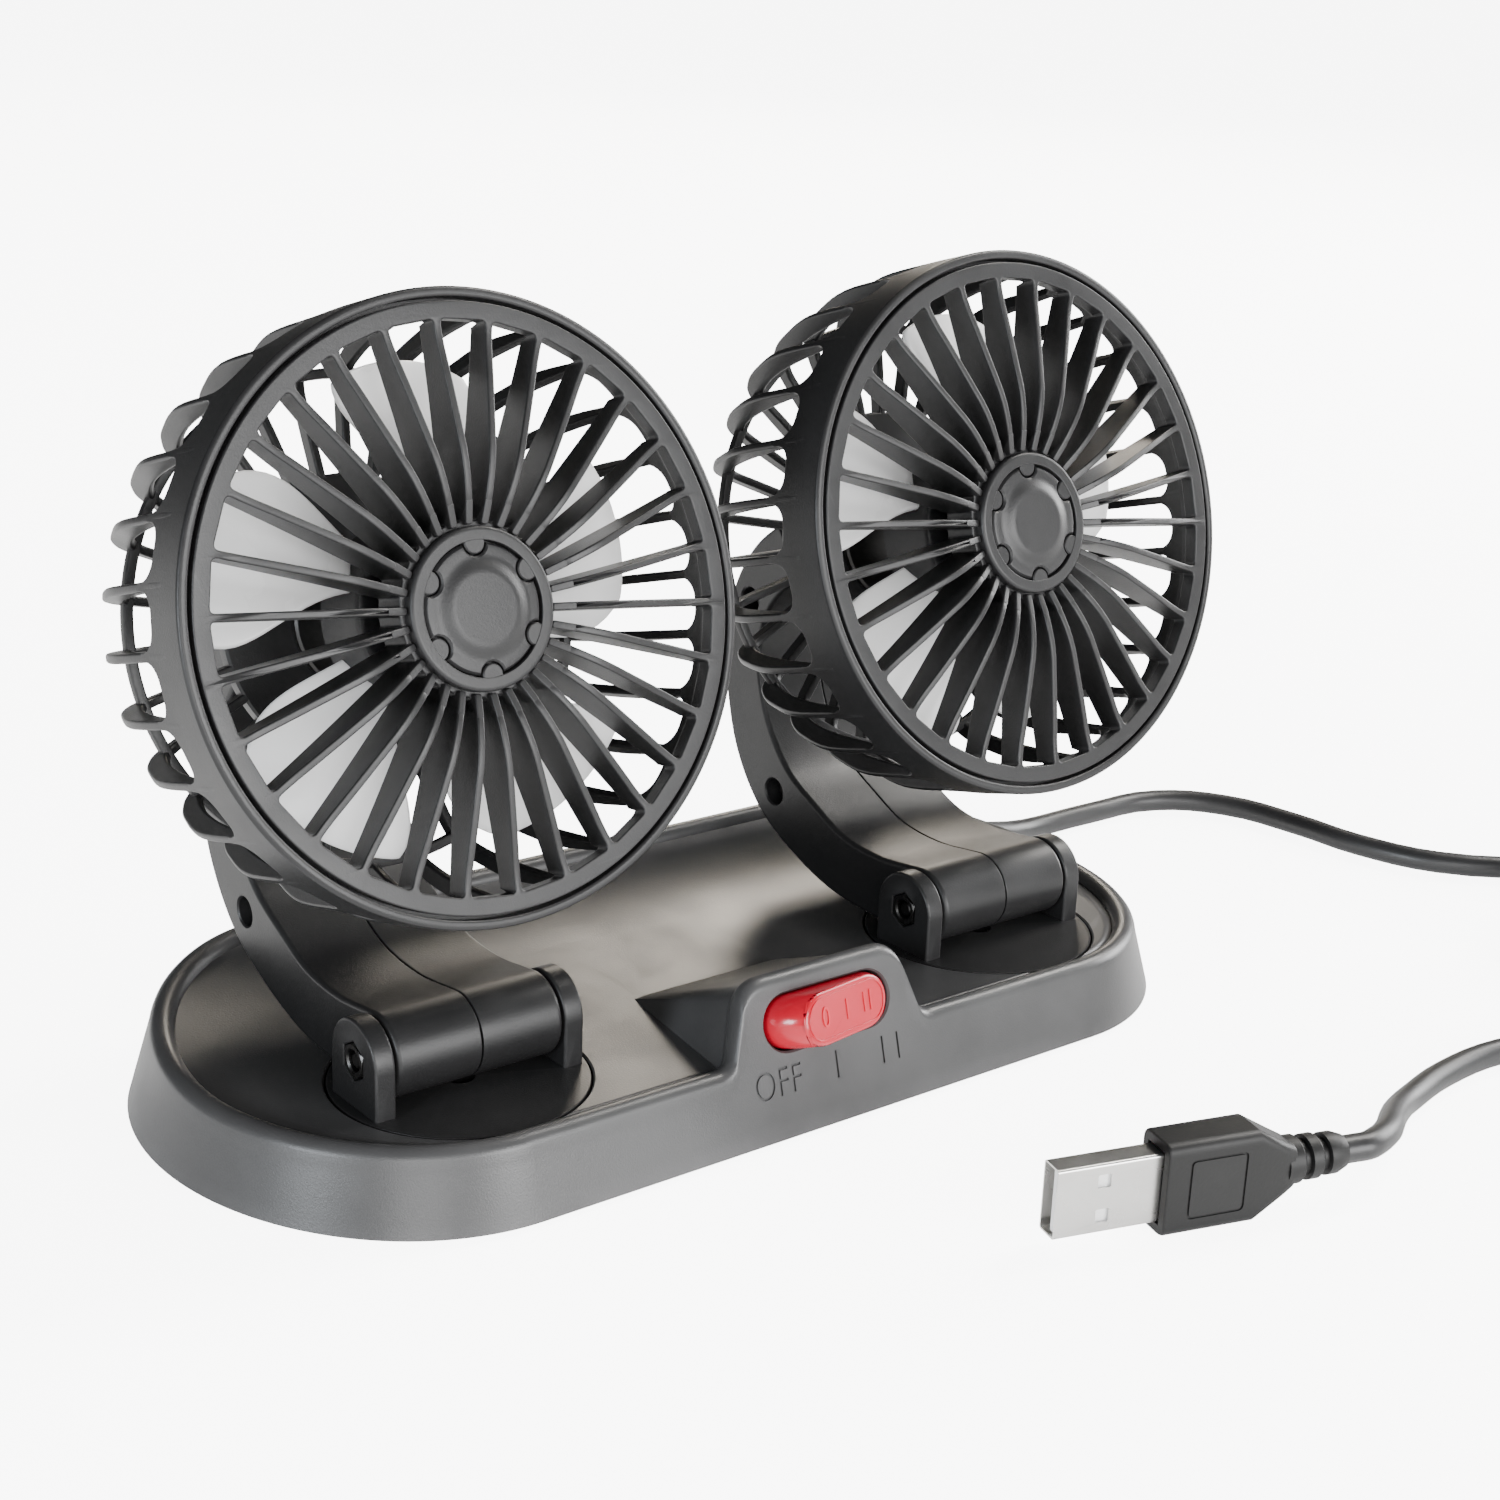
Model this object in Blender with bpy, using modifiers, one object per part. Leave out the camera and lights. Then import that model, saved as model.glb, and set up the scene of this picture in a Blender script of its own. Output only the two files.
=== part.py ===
"""A two-headed desk and car fan: a dished base, two swivelling and tilting heads, a rocker switch and a cord."""
import math

import bmesh
import bpy
import numpy as np
from mathutils import Matrix, Vector

# Clearances and overruns
FIT_GAP = 0.0003
RUN_GAP = 0.0005
OVERRUN = 0.0020
EMBED = 0.0005
MERGE = 0.00001
FLAT = math.radians(0.1)

# Base plan and heights
BASE_HALF_LENGTH = 0.1020
BASE_HALF_DEPTH = 0.0488
BASE_END_LENGTH = 0.0415
BASE_LIFT = 0.0006
END_STATIONS = 14
WALL_LEAN = math.radians(16.0)
WALL = 0.0022
LIP_RADIUS = 0.0009
RIM_FRONT_Z = 0.0140
RIM_BACK_RISE = 0.0058
RIM_RISE_START_Y = -0.0100
DISH_Z = 0.0127
SWEEP_FRONT = 0.0009
SWEEP_BACK = 0.0240

# Switch hump, an upward run of the front wall
HUMP_TOP_Z = 0.0270
HUMP_FOOT_HALF = 0.0208
HUMP_TOP_HALF = 0.0165
HUMP_CORNER = 0.0042
HUMP_FOOT_FILLET = 0.0030
HUMP_LENGTH = 0.0275

# Turntables and hinges
HEAD_SPACING = 0.1157
TURN_SETBACK = 0.0296
TURN_RADIUS = 0.0216
TURN_THICK = 0.0026
TURN_STEPS = 36
TURN_SEAT = 0.0020
TURN_CUP_WALL = 0.0022
HUB_RADIUS = 0.0062
HUB_DROP = 0.0053
HUB_BORE = 0.0026
CLIP_GROOVE = 0.0010
CLIP_THICK = 0.0011
CLIP_RADIUS = 0.0095
CLIP_SLOT = 0.0040
HINGE_HEIGHT = 0.0079
EAR_RADIUS = 0.0071
EAR_THICK = 0.0037
EAR_OUTSIDE = 0.0392
EAR_STEPS = 8
BOLT_RADIUS = 0.0015
BOLT_HEAD_RADIUS = 0.0028
BOLT_HEAD_THICK = 0.0018
NUT_FLATS = 0.0055
NUT_THICK = 0.0022

# Arms
ARM_DEPTH = 0.0563
ARM_HEIGHT = 0.0575
BARREL_RADIUS = 0.0072
BARREL_STEPS = 7
ARM_EDGE = 0.0009
ARM_SCREW_RADIUS = 0.0013
ARM_SCREW_HEAD = 0.0022
ARM_SCREW_HEAD_THICK = 0.0016
ARM_SCREW_RECESS = 0.0026
ARM_SCREW_DEPTH = 0.0050
ARM_SCREW_BITE = 0.0060
ARM_BOSS_RADIUS = 0.0120
ARM_BOSS_LENGTH = 0.0100

# Heads: place, tilt and cage
HEAD_FORWARD = 0.0053
HEAD_RISE = 0.0724
HEAD_TILT = math.radians(16.0)
CAGE_RADIUS = 0.0487
CAGE_WALL = 0.0016
BAND_DEPTH = 0.0125
SLOT_ROUND = 0.0030
FIN_COUNT = 30
FIN_THICK = 0.0015
CAGE_DEPTH = 0.0400
CAGE_REAR_RADIUS = 0.0420
CAGE_BACK_THICK = 0.0030
CAGE_DISC_RADIUS = 0.0240
FIN_BOW = 0.0070
FIN_WIDTH = 0.0024
FIN_SHARES = ((0.62, 0.06), (0.84, 0.42), (1.00, 0.95))
LUG_COUNT = 3
LUG_WIDTH = 0.0050
LUG_THICK = 0.0020

# Front grille and its cap
GRILLE_RIM_WIDTH = 0.0030
GRILLE_RIM_THICK = 0.0028
VANE_COUNT = 30
VANE_THICK = 0.0012
VANE_DEPTH = 0.0070
VANE_BULGE = 0.0027
VANE_SHARES = ((0.0, 0.35), (0.36, 0.96), (0.72, 0.80))
GRILLE_HUB_RADIUS = 0.0129
GRILLE_HUB_RISE = 0.0016
CAP_RADIUS = 0.0103
CAP_SEAT = 0.0020
CAP_DOME = 0.0008
CAP_DOME_RADIUS = 0.0068
CAP_NOTCHES = 6
CAP_NOTCH_RADIUS = 0.0012

# Motors and fans
MOTOR_RADIUS = 0.0120
MOTOR_LENGTH = 0.0160
SHAFT_RADIUS = 0.0010
SHAFT_LENGTH = 0.0080
FAN_BLADES = 5
FAN_RADIUS = 0.0395
FAN_SLEEVE_RADIUS = 0.0150
FAN_SLEEVE_WALL = 0.0014
FAN_DEPTH = 0.0120
FAN_PITCH = math.radians(34.0)
BLADE_THICK = 0.0013
BLADE_ROOT_SPAN = math.radians(30.0)
BLADE_TIP_SPAN = math.radians(56.0)
BLADE_SWEEP = math.radians(16.0)
FAN_CAP_WALL = 0.0024
FAN_FRONT_Z = -0.0105

# Rocker switch
ROCKER_LENGTH = 0.0266
ROCKER_HEIGHT = 0.0092
ROCKER_FACE = 0.0071
ROCKER_BACK = 0.0020
ROCKER_DEPTH = 0.0036
ROCKER_THROW = math.radians(14.0)
ROCKER_HUMP_Z = 0.0192
SWITCH_HALF_LENGTH = 0.0100
SWITCH_HALF_HEIGHT = 0.0030
SWITCH_THICK = 0.0040
SWITCH_FALL = math.radians(18.0)
SWITCH_POST_SETBACK = 0.0142
SWITCH_POST_WIDTH = 0.0030
SWITCH_POST_TOP_Z = 0.0160

# Underside
PLATE_THICK = 0.0020
PLATE_LIFT = 0.0010
PAD_END_MARGIN = 0.0260
PAD_SIDE_MARGIN = 0.0168
PAD_RECESS = 0.0008
PAD_STEPS = 8
BOSS_RADIUS = 0.0036
BASE_SCREW_RADIUS = 0.0015
BASE_SCREW_HEAD = 0.0029
BASE_SCREW_HEAD_THICK = 0.0010
BASE_SCREW_LENGTH = 0.0070
END_BOSS_INSET = 0.0160
END_BOSS_Y = 0.0140
BACK_BOSS_X = 0.0300
BACK_BOSS_INSET = 0.0138
BOARD_LENGTH = 0.0340
BOARD_DEPTH = 0.0200
BOARD_THICK = 0.0016
BOARD_Y = 0.0120
BOARD_POST = 0.0030
BOARD_POST_RADIUS = 0.0022

# Cord, coil and plug
CORD_DIAMETER = 0.0048
CORD_EXIT_TURN = math.radians(30.0)
CORD_EXIT_Z = 0.0074
GROMMET_RADIUS = 0.0040
GROMMET_FLANGE = 0.0052
GROMMET_FLANGE_THICK = 0.0012
GROMMET_REACH = 0.0050
GROMMET_RINGS = 2
CORD_OUT_ROUTE = (
    (0.1230, 0.0343, 0.0025),
    (0.1440, 0.0342, 0.0024),
    (0.1640, 0.0320, 0.0024),
    (0.1755, 0.0210, 0.0024),
    (0.1800, 0.0030, 0.0024),
    (0.1815, -0.0130, 0.0024),
    (0.1880, -0.0300, 0.0024),
    (0.2080, -0.0480, 0.0024),
    (0.2230, -0.0640, 0.0027),
)
CORD_IN_ROUTE = (
    (0.1720, -0.1195, 0.0082),
    (0.1560, -0.1140, 0.0040),
    (0.1370, -0.1035, 0.0024),
    (0.1170, -0.0975, 0.0024),
    (0.1000, -0.0975, 0.0024),
    (0.0860, -0.1005, 0.0026),
    (0.0740, -0.1045, 0.0045),
)
COIL_CENTRE = (0.1950, -0.0880)
COIL_RADIUS = 0.0320
COIL_TURNS = 2.5
COIL_GAP = 0.0006
COIL_LOOP_POINTS = 24
COIL_LEAVES_AT = math.radians(-100.0)
TIE_THICK = 0.0009
TIE_WIDTH = 0.0100
TIE_AT = math.radians(150.0)
PLUG_END = (0.0515, -0.1124)
PLUG_TURN = math.radians(163.7)
PLUG_WIDTH = 0.0160
PLUG_THICK = 0.0084
PLUG_LENGTH = 0.0240
PLUG_SHELL_WIDTH = 0.0120
PLUG_SHELL_THICK = 0.0045
PLUG_SHELL_LENGTH = 0.0185
PLUG_SHELL_WALL = 0.0003
PLUG_RELIEF_LENGTH = 0.0110
PLUG_RELIEF_RADIUS = 0.0040
PLUG_TONGUE_THICK = 0.0018

# Sizes that follow from the ones above
TURN_Y = TURN_SETBACK - BASE_HALF_DEPTH
SWITCH_POST_Y = SWITCH_POST_SETBACK - BASE_HALF_DEPTH
PAD_HALF_LENGTH = BASE_HALF_LENGTH - PAD_END_MARGIN
PAD_HALF_DEPTH = BASE_HALF_DEPTH - PAD_SIDE_MARGIN
END_BOSS_X = BASE_HALF_LENGTH - END_BOSS_INSET
BACK_BOSS_Y = BASE_HALF_DEPTH - BACK_BOSS_INSET
HINGE_Z = DISH_Z + HINGE_HEIGHT
FACE_TURN = math.pi / 2 - HEAD_TILT
PANEL_TURN = math.pi / 2 - WALL_LEAN
RIM_INNER = 2 * LIP_RADIUS
GRILLE_RIM_RADIUS = CAGE_RADIUS - CAGE_WALL - FIT_GAP
BARREL_HALF = EAR_OUTSIDE / 2 - EAR_THICK - RUN_GAP / 2 - FIT_GAP / 2
CUP_TOP_Z = DISH_Z - FIT_GAP
CUP_FLOOR_Z = DISH_Z - TURN_THICK - RUN_GAP
CUP_RADIUS = TURN_RADIUS + FIT_GAP
CORD_RADIUS = CORD_DIAMETER / 2

AXES = {
    "X": (Matrix(((0, 0, 1, 0), (1, 0, 0, 0), (0, 1, 0, 0), (0, 0, 0, 1))), Vector((1, 0, 0))),
    "Y": (Matrix.Rotation(math.pi / 2, 4, "X"), Vector((0, 1, 0))),
    "Z": (Matrix.Identity(4), Vector((0, 0, 1))),
}

ABS_GREY = ((0.060, 0.060, 0.062), 0.38, 0.0)
ABS_DARK = ((0.035, 0.035, 0.036), 0.45, 0.0)
STEEL = ((0.60, 0.60, 0.62), 0.30, 1.0)
WHITE = ((0.82, 0.82, 0.82), 0.35, 0.0)
RED = ((0.75, 0.08, 0.10), 0.30, 0.0)
RUBBER = ((0.015, 0.015, 0.015), 0.70, 0.0)
GREEN = ((0.02, 0.20, 0.06), 0.50, 0.0)


def clear_scene():
    for item in list(bpy.data.objects):
        bpy.data.objects.remove(item, do_unlink=True)


def collection(name):
    made = bpy.data.collections.new(name)
    bpy.context.scene.collection.children.link(made)
    return made


def material(name, look):
    colour, roughness, metallic = look
    made = bpy.data.materials.new(name)
    made.use_nodes = True
    shader = made.node_tree.nodes["Principled BSDF"]
    shader.inputs["Base Color"].default_value = (*colour, 1.0)
    shader.inputs["Roughness"].default_value = roughness
    shader.inputs["Metallic"].default_value = metallic
    return made


def empty(name, parts, parent=None, location=(0, 0, 0), turn=None):
    made = bpy.data.objects.new(name, None)
    parts.objects.link(made)
    made.parent = parent
    made.matrix_local = Matrix.Translation(location) @ (turn or Matrix.Identity(4))
    return made


def mesh_from(bm, name):
    mesh = bpy.data.meshes.new(name)
    bm.to_mesh(mesh)
    bm.free()
    return mesh


def smooth(mesh, degrees=32.0):
    mesh.shade_smooth()
    mesh.set_sharp_from_angle(angle=math.radians(degrees))
    return mesh


def evaluated(temporary):
    """Turn an object's modifiers or curve into a plain mesh in world space and drop the object."""
    bpy.context.view_layer.update()
    graph = bpy.context.evaluated_depsgraph_get()
    mesh = bpy.data.meshes.new_from_object(temporary.evaluated_get(graph), depsgraph=graph)
    mesh.transform(temporary.matrix_world)
    bm = bmesh.new()
    bm.from_mesh(mesh)
    bmesh.ops.remove_doubles(bm, verts=bm.verts, dist=MERGE)
    bmesh.ops.dissolve_limit(bm, angle_limit=FLAT, verts=bm.verts, edges=bm.edges)
    bm.to_mesh(mesh)
    bm.free()
    bpy.data.objects.remove(temporary, do_unlink=True)
    return mesh


def scratch(data):
    """A shape in the making, kept with the cutters."""
    made = bpy.data.objects.new("shape", data)
    bpy.data.collections["cutters"].objects.link(made)
    return made


def turned(profile, segments):
    """Spin a profile of (radius, height) points, listed top to bottom on the outer side, about Z."""
    bm = bmesh.new()
    points = [bm.verts.new((radius, 0, height)) for radius, height in profile]
    ring = profile[0][0] > 0 or profile[-1][0] > 0
    pairs = zip(points, points[1:] + points[:1]) if ring else zip(points, points[1:])
    for first, second in pairs:
        bm.edges.new((first, second))
    shape = scratch(mesh_from(bm, "profile"))
    screw = shape.modifiers.new("spin", "SCREW")
    screw.steps = segments
    screw.render_steps = segments
    screw.use_merge_vertices = True
    screw.merge_threshold = MERGE
    screw.use_normal_calculate = True
    mesh = evaluated(shape)
    return outward(mesh)


def outward(mesh):
    bm = bmesh.new()
    bm.from_mesh(mesh)
    bmesh.ops.recalc_face_normals(bm, faces=bm.faces)
    if bm.calc_volume(signed=True) < 0:
        bmesh.ops.reverse_faces(bm, faces=bm.faces)
    bm.to_mesh(mesh)
    bm.free()
    return mesh


def prism(outline, low, high, axis="Z"):
    """Extrude a closed outline from low to high; its pairs are (x, y) for Z, (y, z) for X and (x, z) for Y."""
    curve = bpy.data.curves.new("outline", "CURVE")
    curve.dimensions = "2D"
    curve.fill_mode = "BOTH"
    curve.extrude = (high - low) / 2
    spline = curve.splines.new("POLY")
    spline.points.add(len(outline) - 1)
    for place, (a, b) in zip(spline.points, outline):
        place.co = (a, b, 0, 1)
    spline.use_cyclic_u = True
    shape = scratch(curve)
    turn, along = AXES[axis]
    shape.matrix_world = Matrix.Translation(along * (low + high) / 2) @ turn
    return outward(evaluated(shape))


def rounded_end(mesh, plane_x, edge):
    """Round the rim of a prism's end face that lies in the plane x = plane_x."""
    bm = bmesh.new()
    bm.from_mesh(mesh)
    rim = [e for e in bm.edges if sorted(abs(f.normal.x) > 0.9 for f in e.link_faces) == [False, True]
           and all(abs(v.co.x - plane_x) < MERGE for v in e.verts)]
    bmesh.ops.bevel(bm, geom=rim, offset=edge, segments=1, profile=0.5, affect="EDGES")
    return mesh_from(bm, "rounded")


def block(low, high):
    bm = bmesh.new()
    size = Vector(high) - Vector(low)
    centre = (Vector(high) + Vector(low)) / 2
    bmesh.ops.create_cube(bm, size=1.0, matrix=Matrix.Translation(centre) @ Matrix.Diagonal((*size, 1)))
    return mesh_from(bm, "block")


def rod(radius, low, high, segments=24, axis="Z", centre=(0, 0), turn=0.0):
    """A cylinder along an axis, its centre given as for prism."""
    frame, along = AXES[axis]
    place = frame @ Matrix.Translation((*centre, 0)) @ Matrix.Rotation(turn, 4, "Z")
    bm = bmesh.new()
    bmesh.ops.create_cone(bm, cap_ends=True, segments=segments, radius1=radius, radius2=radius,
                          depth=high - low, matrix=Matrix.Translation(along * (low + high) / 2) @ place)
    return mesh_from(bm, "rod")


def circle(radius, count, centre=(0, 0), turn=0.0):
    steps = [turn + math.tau * k / count for k in range(count)]
    return [(centre[0] + radius * math.cos(a), centre[1] + radius * math.sin(a)) for a in steps]


def stadium(half_length, half_height, steps):
    """A slot outline: two half circles joined by straight sides."""
    ends = half_length - half_height
    points = []
    for side in (1, -1):
        start = -math.pi / 2 if side > 0 else math.pi / 2
        for k in range(steps + 1):
            angle = start + math.pi * k / steps
            points.append((side * ends + half_height * math.cos(angle), half_height * math.sin(angle)))
    return points


def merged(meshes):
    """Put several meshes that don't touch into one."""
    bm = bmesh.new()
    for mesh in meshes:
        bm.from_mesh(mesh)
    return mesh_from(bm, "merged")


def moved(mesh, matrix):
    copy = mesh.copy()
    copy.transform(matrix)
    return copy


def combine(base, other, operation):
    """Join, cut or intersect two closed meshes."""
    first = scratch(base)
    second = scratch(other)
    second.hide_render = True
    second.display_type = "WIRE"
    cut = first.modifiers.new("shape", "BOOLEAN")
    cut.object = second
    cut.operation = operation
    cut.solver = "EXACT"
    mesh = evaluated(first)
    bpy.data.objects.remove(second, do_unlink=True)
    return mesh


def union(base, *others):
    for other in others:
        base = combine(base, other, "UNION")
    return base


def cut(base, *others):
    for other in others:
        base = combine(base, other, "DIFFERENCE")
    return base


def spun(mesh, count, start=0.0):
    """Copies of a mesh evenly round Z."""
    turns = [start + math.tau * k / count for k in range(count)]
    return merged([moved(mesh, Matrix.Rotation(a, 4, "Z")) for a in turns])


def smooth_line(points, steps):
    """A Catmull-Rom curve through hand-chosen points, any number of values each."""
    rows = [np.array(p, float) for p in points]
    rows = [2 * rows[0] - rows[1], *rows, 2 * rows[-1] - rows[-2]]
    line = []
    for a, b, c, d in zip(rows, rows[1:], rows[2:], rows[3:]):
        for k in range(steps):
            t = k / steps
            line.append(0.5 * (2 * b + (c - a) * t + (2 * a - 5 * b + 4 * c - d) * t**2
                               + (3 * b - a - 3 * c + d) * t**3))
    line.append(rows[-2])
    return line


def rim_height(y):
    """The lip is level at the front and rises toward the back."""
    run = max(0.0, (y - RIM_RISE_START_Y) / (BASE_HALF_DEPTH - RIM_RISE_START_Y))
    return RIM_FRONT_Z + RIM_BACK_RISE * run**1.5


def hump_outline():
    """The right half of the hump's front edge, from the foot to the middle, as (x, z)."""
    foot, top = RIM_FRONT_Z, HUMP_TOP_Z
    knee = HUMP_FOOT_FILLET
    points = [(HUMP_FOOT_HALF + knee, foot)]
    for share in (0.45, 0.8):
        points.append((HUMP_FOOT_HALF + knee * (1 - share), foot + knee * share**2 * share))
    points.append((HUMP_FOOT_HALF - knee * 0.25, foot + knee * 1.1))
    for k in range(4):
        angle = math.radians(8 + 27 * k)
        points.append((HUMP_TOP_HALF - HUMP_CORNER + HUMP_CORNER * math.cos(angle),
                       top - HUMP_CORNER + HUMP_CORNER * math.sin(angle)))
    points.append((0.0, top))
    return points


def base_plan():
    """Stations round the base: plan point, outward normal, rim height, dish sweep and its fall-off."""
    stations = []
    straight = BASE_HALF_LENGTH - BASE_END_LENGTH

    def station(x, y, normal, height, sweep, power):
        stations.append((Vector((x, y)), Vector(normal).normalized(), height, sweep, power))

    def sweep_at(y):
        share = (y + BASE_HALF_DEPTH) / (2 * BASE_HALF_DEPTH)
        return SWEEP_FRONT + (SWEEP_BACK - SWEEP_FRONT) * share**1.6

    half = hump_outline()
    full = [(-x, z) for x, z in half[:-1]] + [(x, z) for x, z in reversed(half)]
    for x, z in full:
        rise = (z - RIM_FRONT_Z) / (HUMP_TOP_Z - RIM_FRONT_Z)
        reach = min(1.0, max(0.0, (HUMP_FOOT_HALF - abs(x)) / (HUMP_FOOT_HALF - HUMP_TOP_HALF)))
        sweep = SWEEP_FRONT + (HUMP_LENGTH - SWEEP_FRONT) * reach
        station(x, -BASE_HALF_DEPTH, (0, -1), z, sweep, 1.0 if rise > 0 else 2.0)
    for share in (0.5, 1.0):
        x = half[0][0] + (straight - half[0][0]) * share
        station(x, -BASE_HALF_DEPTH, (0, -1), RIM_FRONT_Z, SWEEP_FRONT, 2.0)
    for k in range(1, END_STATIONS):
        angle = -math.pi / 2 + math.pi * k / END_STATIONS
        c, s = math.cos(angle), math.sin(angle)
        y = BASE_HALF_DEPTH * s
        normal = (c / BASE_END_LENGTH, s / BASE_HALF_DEPTH)
        station(straight + BASE_END_LENGTH * c, y, normal, rim_height(y), sweep_at(y), 2.0)
    for share in (1.0, 0.5, 0.0, -0.5, -1.0):
        station(straight * share, BASE_HALF_DEPTH, (0, 1), rim_height(BASE_HALF_DEPTH),
                sweep_at(BASE_HALF_DEPTH), 2.0)
    mirror = [row for row in stations if row[0].x > straight + MERGE]
    for point, normal, height, sweep, power in reversed(mirror):
        station(-point.x, point.y, (-normal.x, normal.y), height, sweep, power)
    for share in (1.0, 0.5):
        x = half[0][0] + (straight - half[0][0]) * share
        station(-x, -BASE_HALF_DEPTH, (0, -1), RIM_FRONT_Z, SWEEP_FRONT, 2.0)
    return stations


def base_rings(stations, wall, bottom):
    """Rings of points from the bottom edge, over the lip and down into the dish, wall inside the skin."""
    lean = math.tan(WALL_LEAN)
    lip = LIP_RADIUS
    rings = []

    def ring(inset_of, height_of):
        points = []
        for row in stations:
            flat = row[0] - row[1] * inset_of(row)
            points.append((flat.x, flat.y, height_of(row)))
        rings.append(points)

    def edge(row):
        return (row[2] - lip) * lean + wall

    ring(lambda row: bottom * lean + wall, lambda row: bottom)
    if wall:
        ring(lambda row: edge(row) - wall * lean, lambda row: row[2] - lip - wall)
    else:
        ring(edge, lambda row: row[2] - lip)
        for angle in (math.radians(55), math.radians(125)):
            ring(lambda row, a=angle: edge(row) + lip * (1 - math.cos(a)),
                 lambda row, a=angle: row[2] - lip + lip * math.sin(a))
    inner = RIM_INNER if not wall else lip
    shares = (0.0, 0.35, 0.7, 1.0) if not wall else (0.5, 1.0)
    for share in shares:
        ring(lambda row, s=share: edge(row) + inner + row[3] * s,
             lambda row, s=share: DISH_Z - wall + (row[2] - lip - DISH_Z) * (1 - s) ** row[4])
    return rings


def lofted(rings):
    """Skin rings with the same number of points and cap both ends."""
    bm = bmesh.new()
    rows = [[bm.verts.new(p) for p in ring] for ring in rings]
    count = len(rows[0])
    for low, high in zip(rows, rows[1:]):
        for k in range(count):
            bm.faces.new((low[k], low[(k + 1) % count], high[(k + 1) % count], high[k]))
    bm.faces.new(list(reversed(rows[0])))
    bm.faces.new(rows[-1])
    bmesh.ops.remove_doubles(bm, verts=bm.verts, dist=MERGE)
    bmesh.ops.triangulate(bm, faces=bm.faces)
    return outward(mesh_from(bm, "loft"))


def panel_frame():
    """The switch's own frame: X along the base, Y up the panel, Z out of it, origin on its face."""
    y = -BASE_HALF_DEPTH + ROCKER_HUMP_Z * math.tan(WALL_LEAN)
    return Matrix.Translation((0, y, ROCKER_HUMP_Z)) @ Matrix.Rotation(PANEL_TURN, 4, "X")


def switch_opening():
    slot = stadium(ROCKER_LENGTH / 2 + FIT_GAP, ROCKER_HEIGHT / 2 + FIT_GAP, 6)
    return moved(prism(slot, -WALL - OVERRUN, OVERRUN * 2), panel_frame())


def base_shell():
    stations = base_plan()
    shell = lofted(base_rings(stations, 0.0, BASE_LIFT))
    core = moved(shell, Matrix.Translation((0, 0, -WALL / 2)))
    hollow = lofted(base_rings(stations, WALL, BASE_LIFT - OVERRUN))
    shell = cut(shell, hollow)
    cups, pockets = [], []
    for side in (-1, 1):
        centre = (side * HEAD_SPACING / 2, TURN_Y)
        low = CUP_FLOOR_Z - TURN_SEAT
        cups.append(rod(CUP_RADIUS + TURN_CUP_WALL, low, CUP_TOP_Z, TURN_STEPS // 2, centre=centre))
        pockets.append(rod(CUP_RADIUS, CUP_FLOOR_Z, DISH_Z + OVERRUN, TURN_STEPS, centre=centre))
        pockets.append(rod(HUB_RADIUS + FIT_GAP, low - OVERRUN, CUP_FLOOR_Z + EMBED, 16, centre=centre))
    shell = union(shell, merged(cups))
    for pocket in pockets:
        shell = cut(shell, pocket)
    bosses, holes = [], []
    for x, y in base_screw_places():
        bosses.append(rod(BOSS_RADIUS, plate_top() + FIT_GAP, HUMP_TOP_Z, 8, centre=(x, y)))
        hole_top = plate_top() + BASE_SCREW_LENGTH
        holes.append(rod(BASE_SCREW_RADIUS + FIT_GAP, BASE_LIFT, hole_top, 8, centre=(x, y)))
    shell = union(shell, combine(merged(bosses), core, "INTERSECT"))
    shell = cut(shell, merged(holes))
    shell = cut(shell, switch_opening())
    return smooth(cut(shell, moved(rod(GROMMET_RADIUS + FIT_GAP, -GROMMET_REACH, GROMMET_REACH, 16), exit_frame())))


def plate_top():
    return PLATE_LIFT + PLATE_THICK


def base_screw_places():
    ends = [(side * END_BOSS_X, END_BOSS_Y) for side in (-1, 1)]
    return ends + [(side * BACK_BOSS_X, BACK_BOSS_Y) for side in (-1, 1)]


def inset_plan(inset):
    """The base's plan outline moved in, without the hump's extra stations."""
    rows = [row for row in base_plan() if abs(row[0].x) > HUMP_FOOT_HALF or row[0].y > 0]
    return [tuple(row[0] - row[1] * inset) for row in rows]


def base_plate():
    inset = WALL + FIT_GAP + plate_top() * math.tan(WALL_LEAN)
    plate = prism(inset_plan(inset), PLATE_LIFT, plate_top())
    posts = [rod(BOARD_POST_RADIUS, PLATE_LIFT + EMBED, plate_top() + BOARD_POST, 8,
                 centre=(side * (BOARD_LENGTH / 2 - BOARD_POST_RADIUS), BOARD_Y)) for side in (-1, 1)]
    plate = union(plate, merged(posts))
    recess = stadium(PAD_HALF_LENGTH + FIT_GAP, PAD_HALF_DEPTH + FIT_GAP, PAD_STEPS)
    plate = cut(plate, prism(recess, -OVERRUN, PLATE_LIFT + PAD_RECESS))
    heads, shanks = [], []
    for place in base_screw_places():
        heads.append(rod(BASE_SCREW_HEAD + FIT_GAP, -OVERRUN, PLATE_LIFT + BASE_SCREW_HEAD_THICK + FIT_GAP, 10,
                         centre=place))
        shanks.append(rod(BASE_SCREW_RADIUS + FIT_GAP, 0, plate_top() + OVERRUN, 8, centre=place))
    return smooth(cut(plate, merged(heads), merged(shanks)))


def base_screw():
    """Head down, its underside at the plate's."""
    top = BASE_SCREW_HEAD_THICK
    end = PLATE_THICK + BASE_SCREW_LENGTH - FIT_GAP
    profile = [(0, end), (BASE_SCREW_RADIUS, end), (BASE_SCREW_RADIUS, top), (BASE_SCREW_HEAD, top),
               (BASE_SCREW_HEAD, 0), (0, 0)]
    return smooth(turned(profile, 8))


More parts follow.
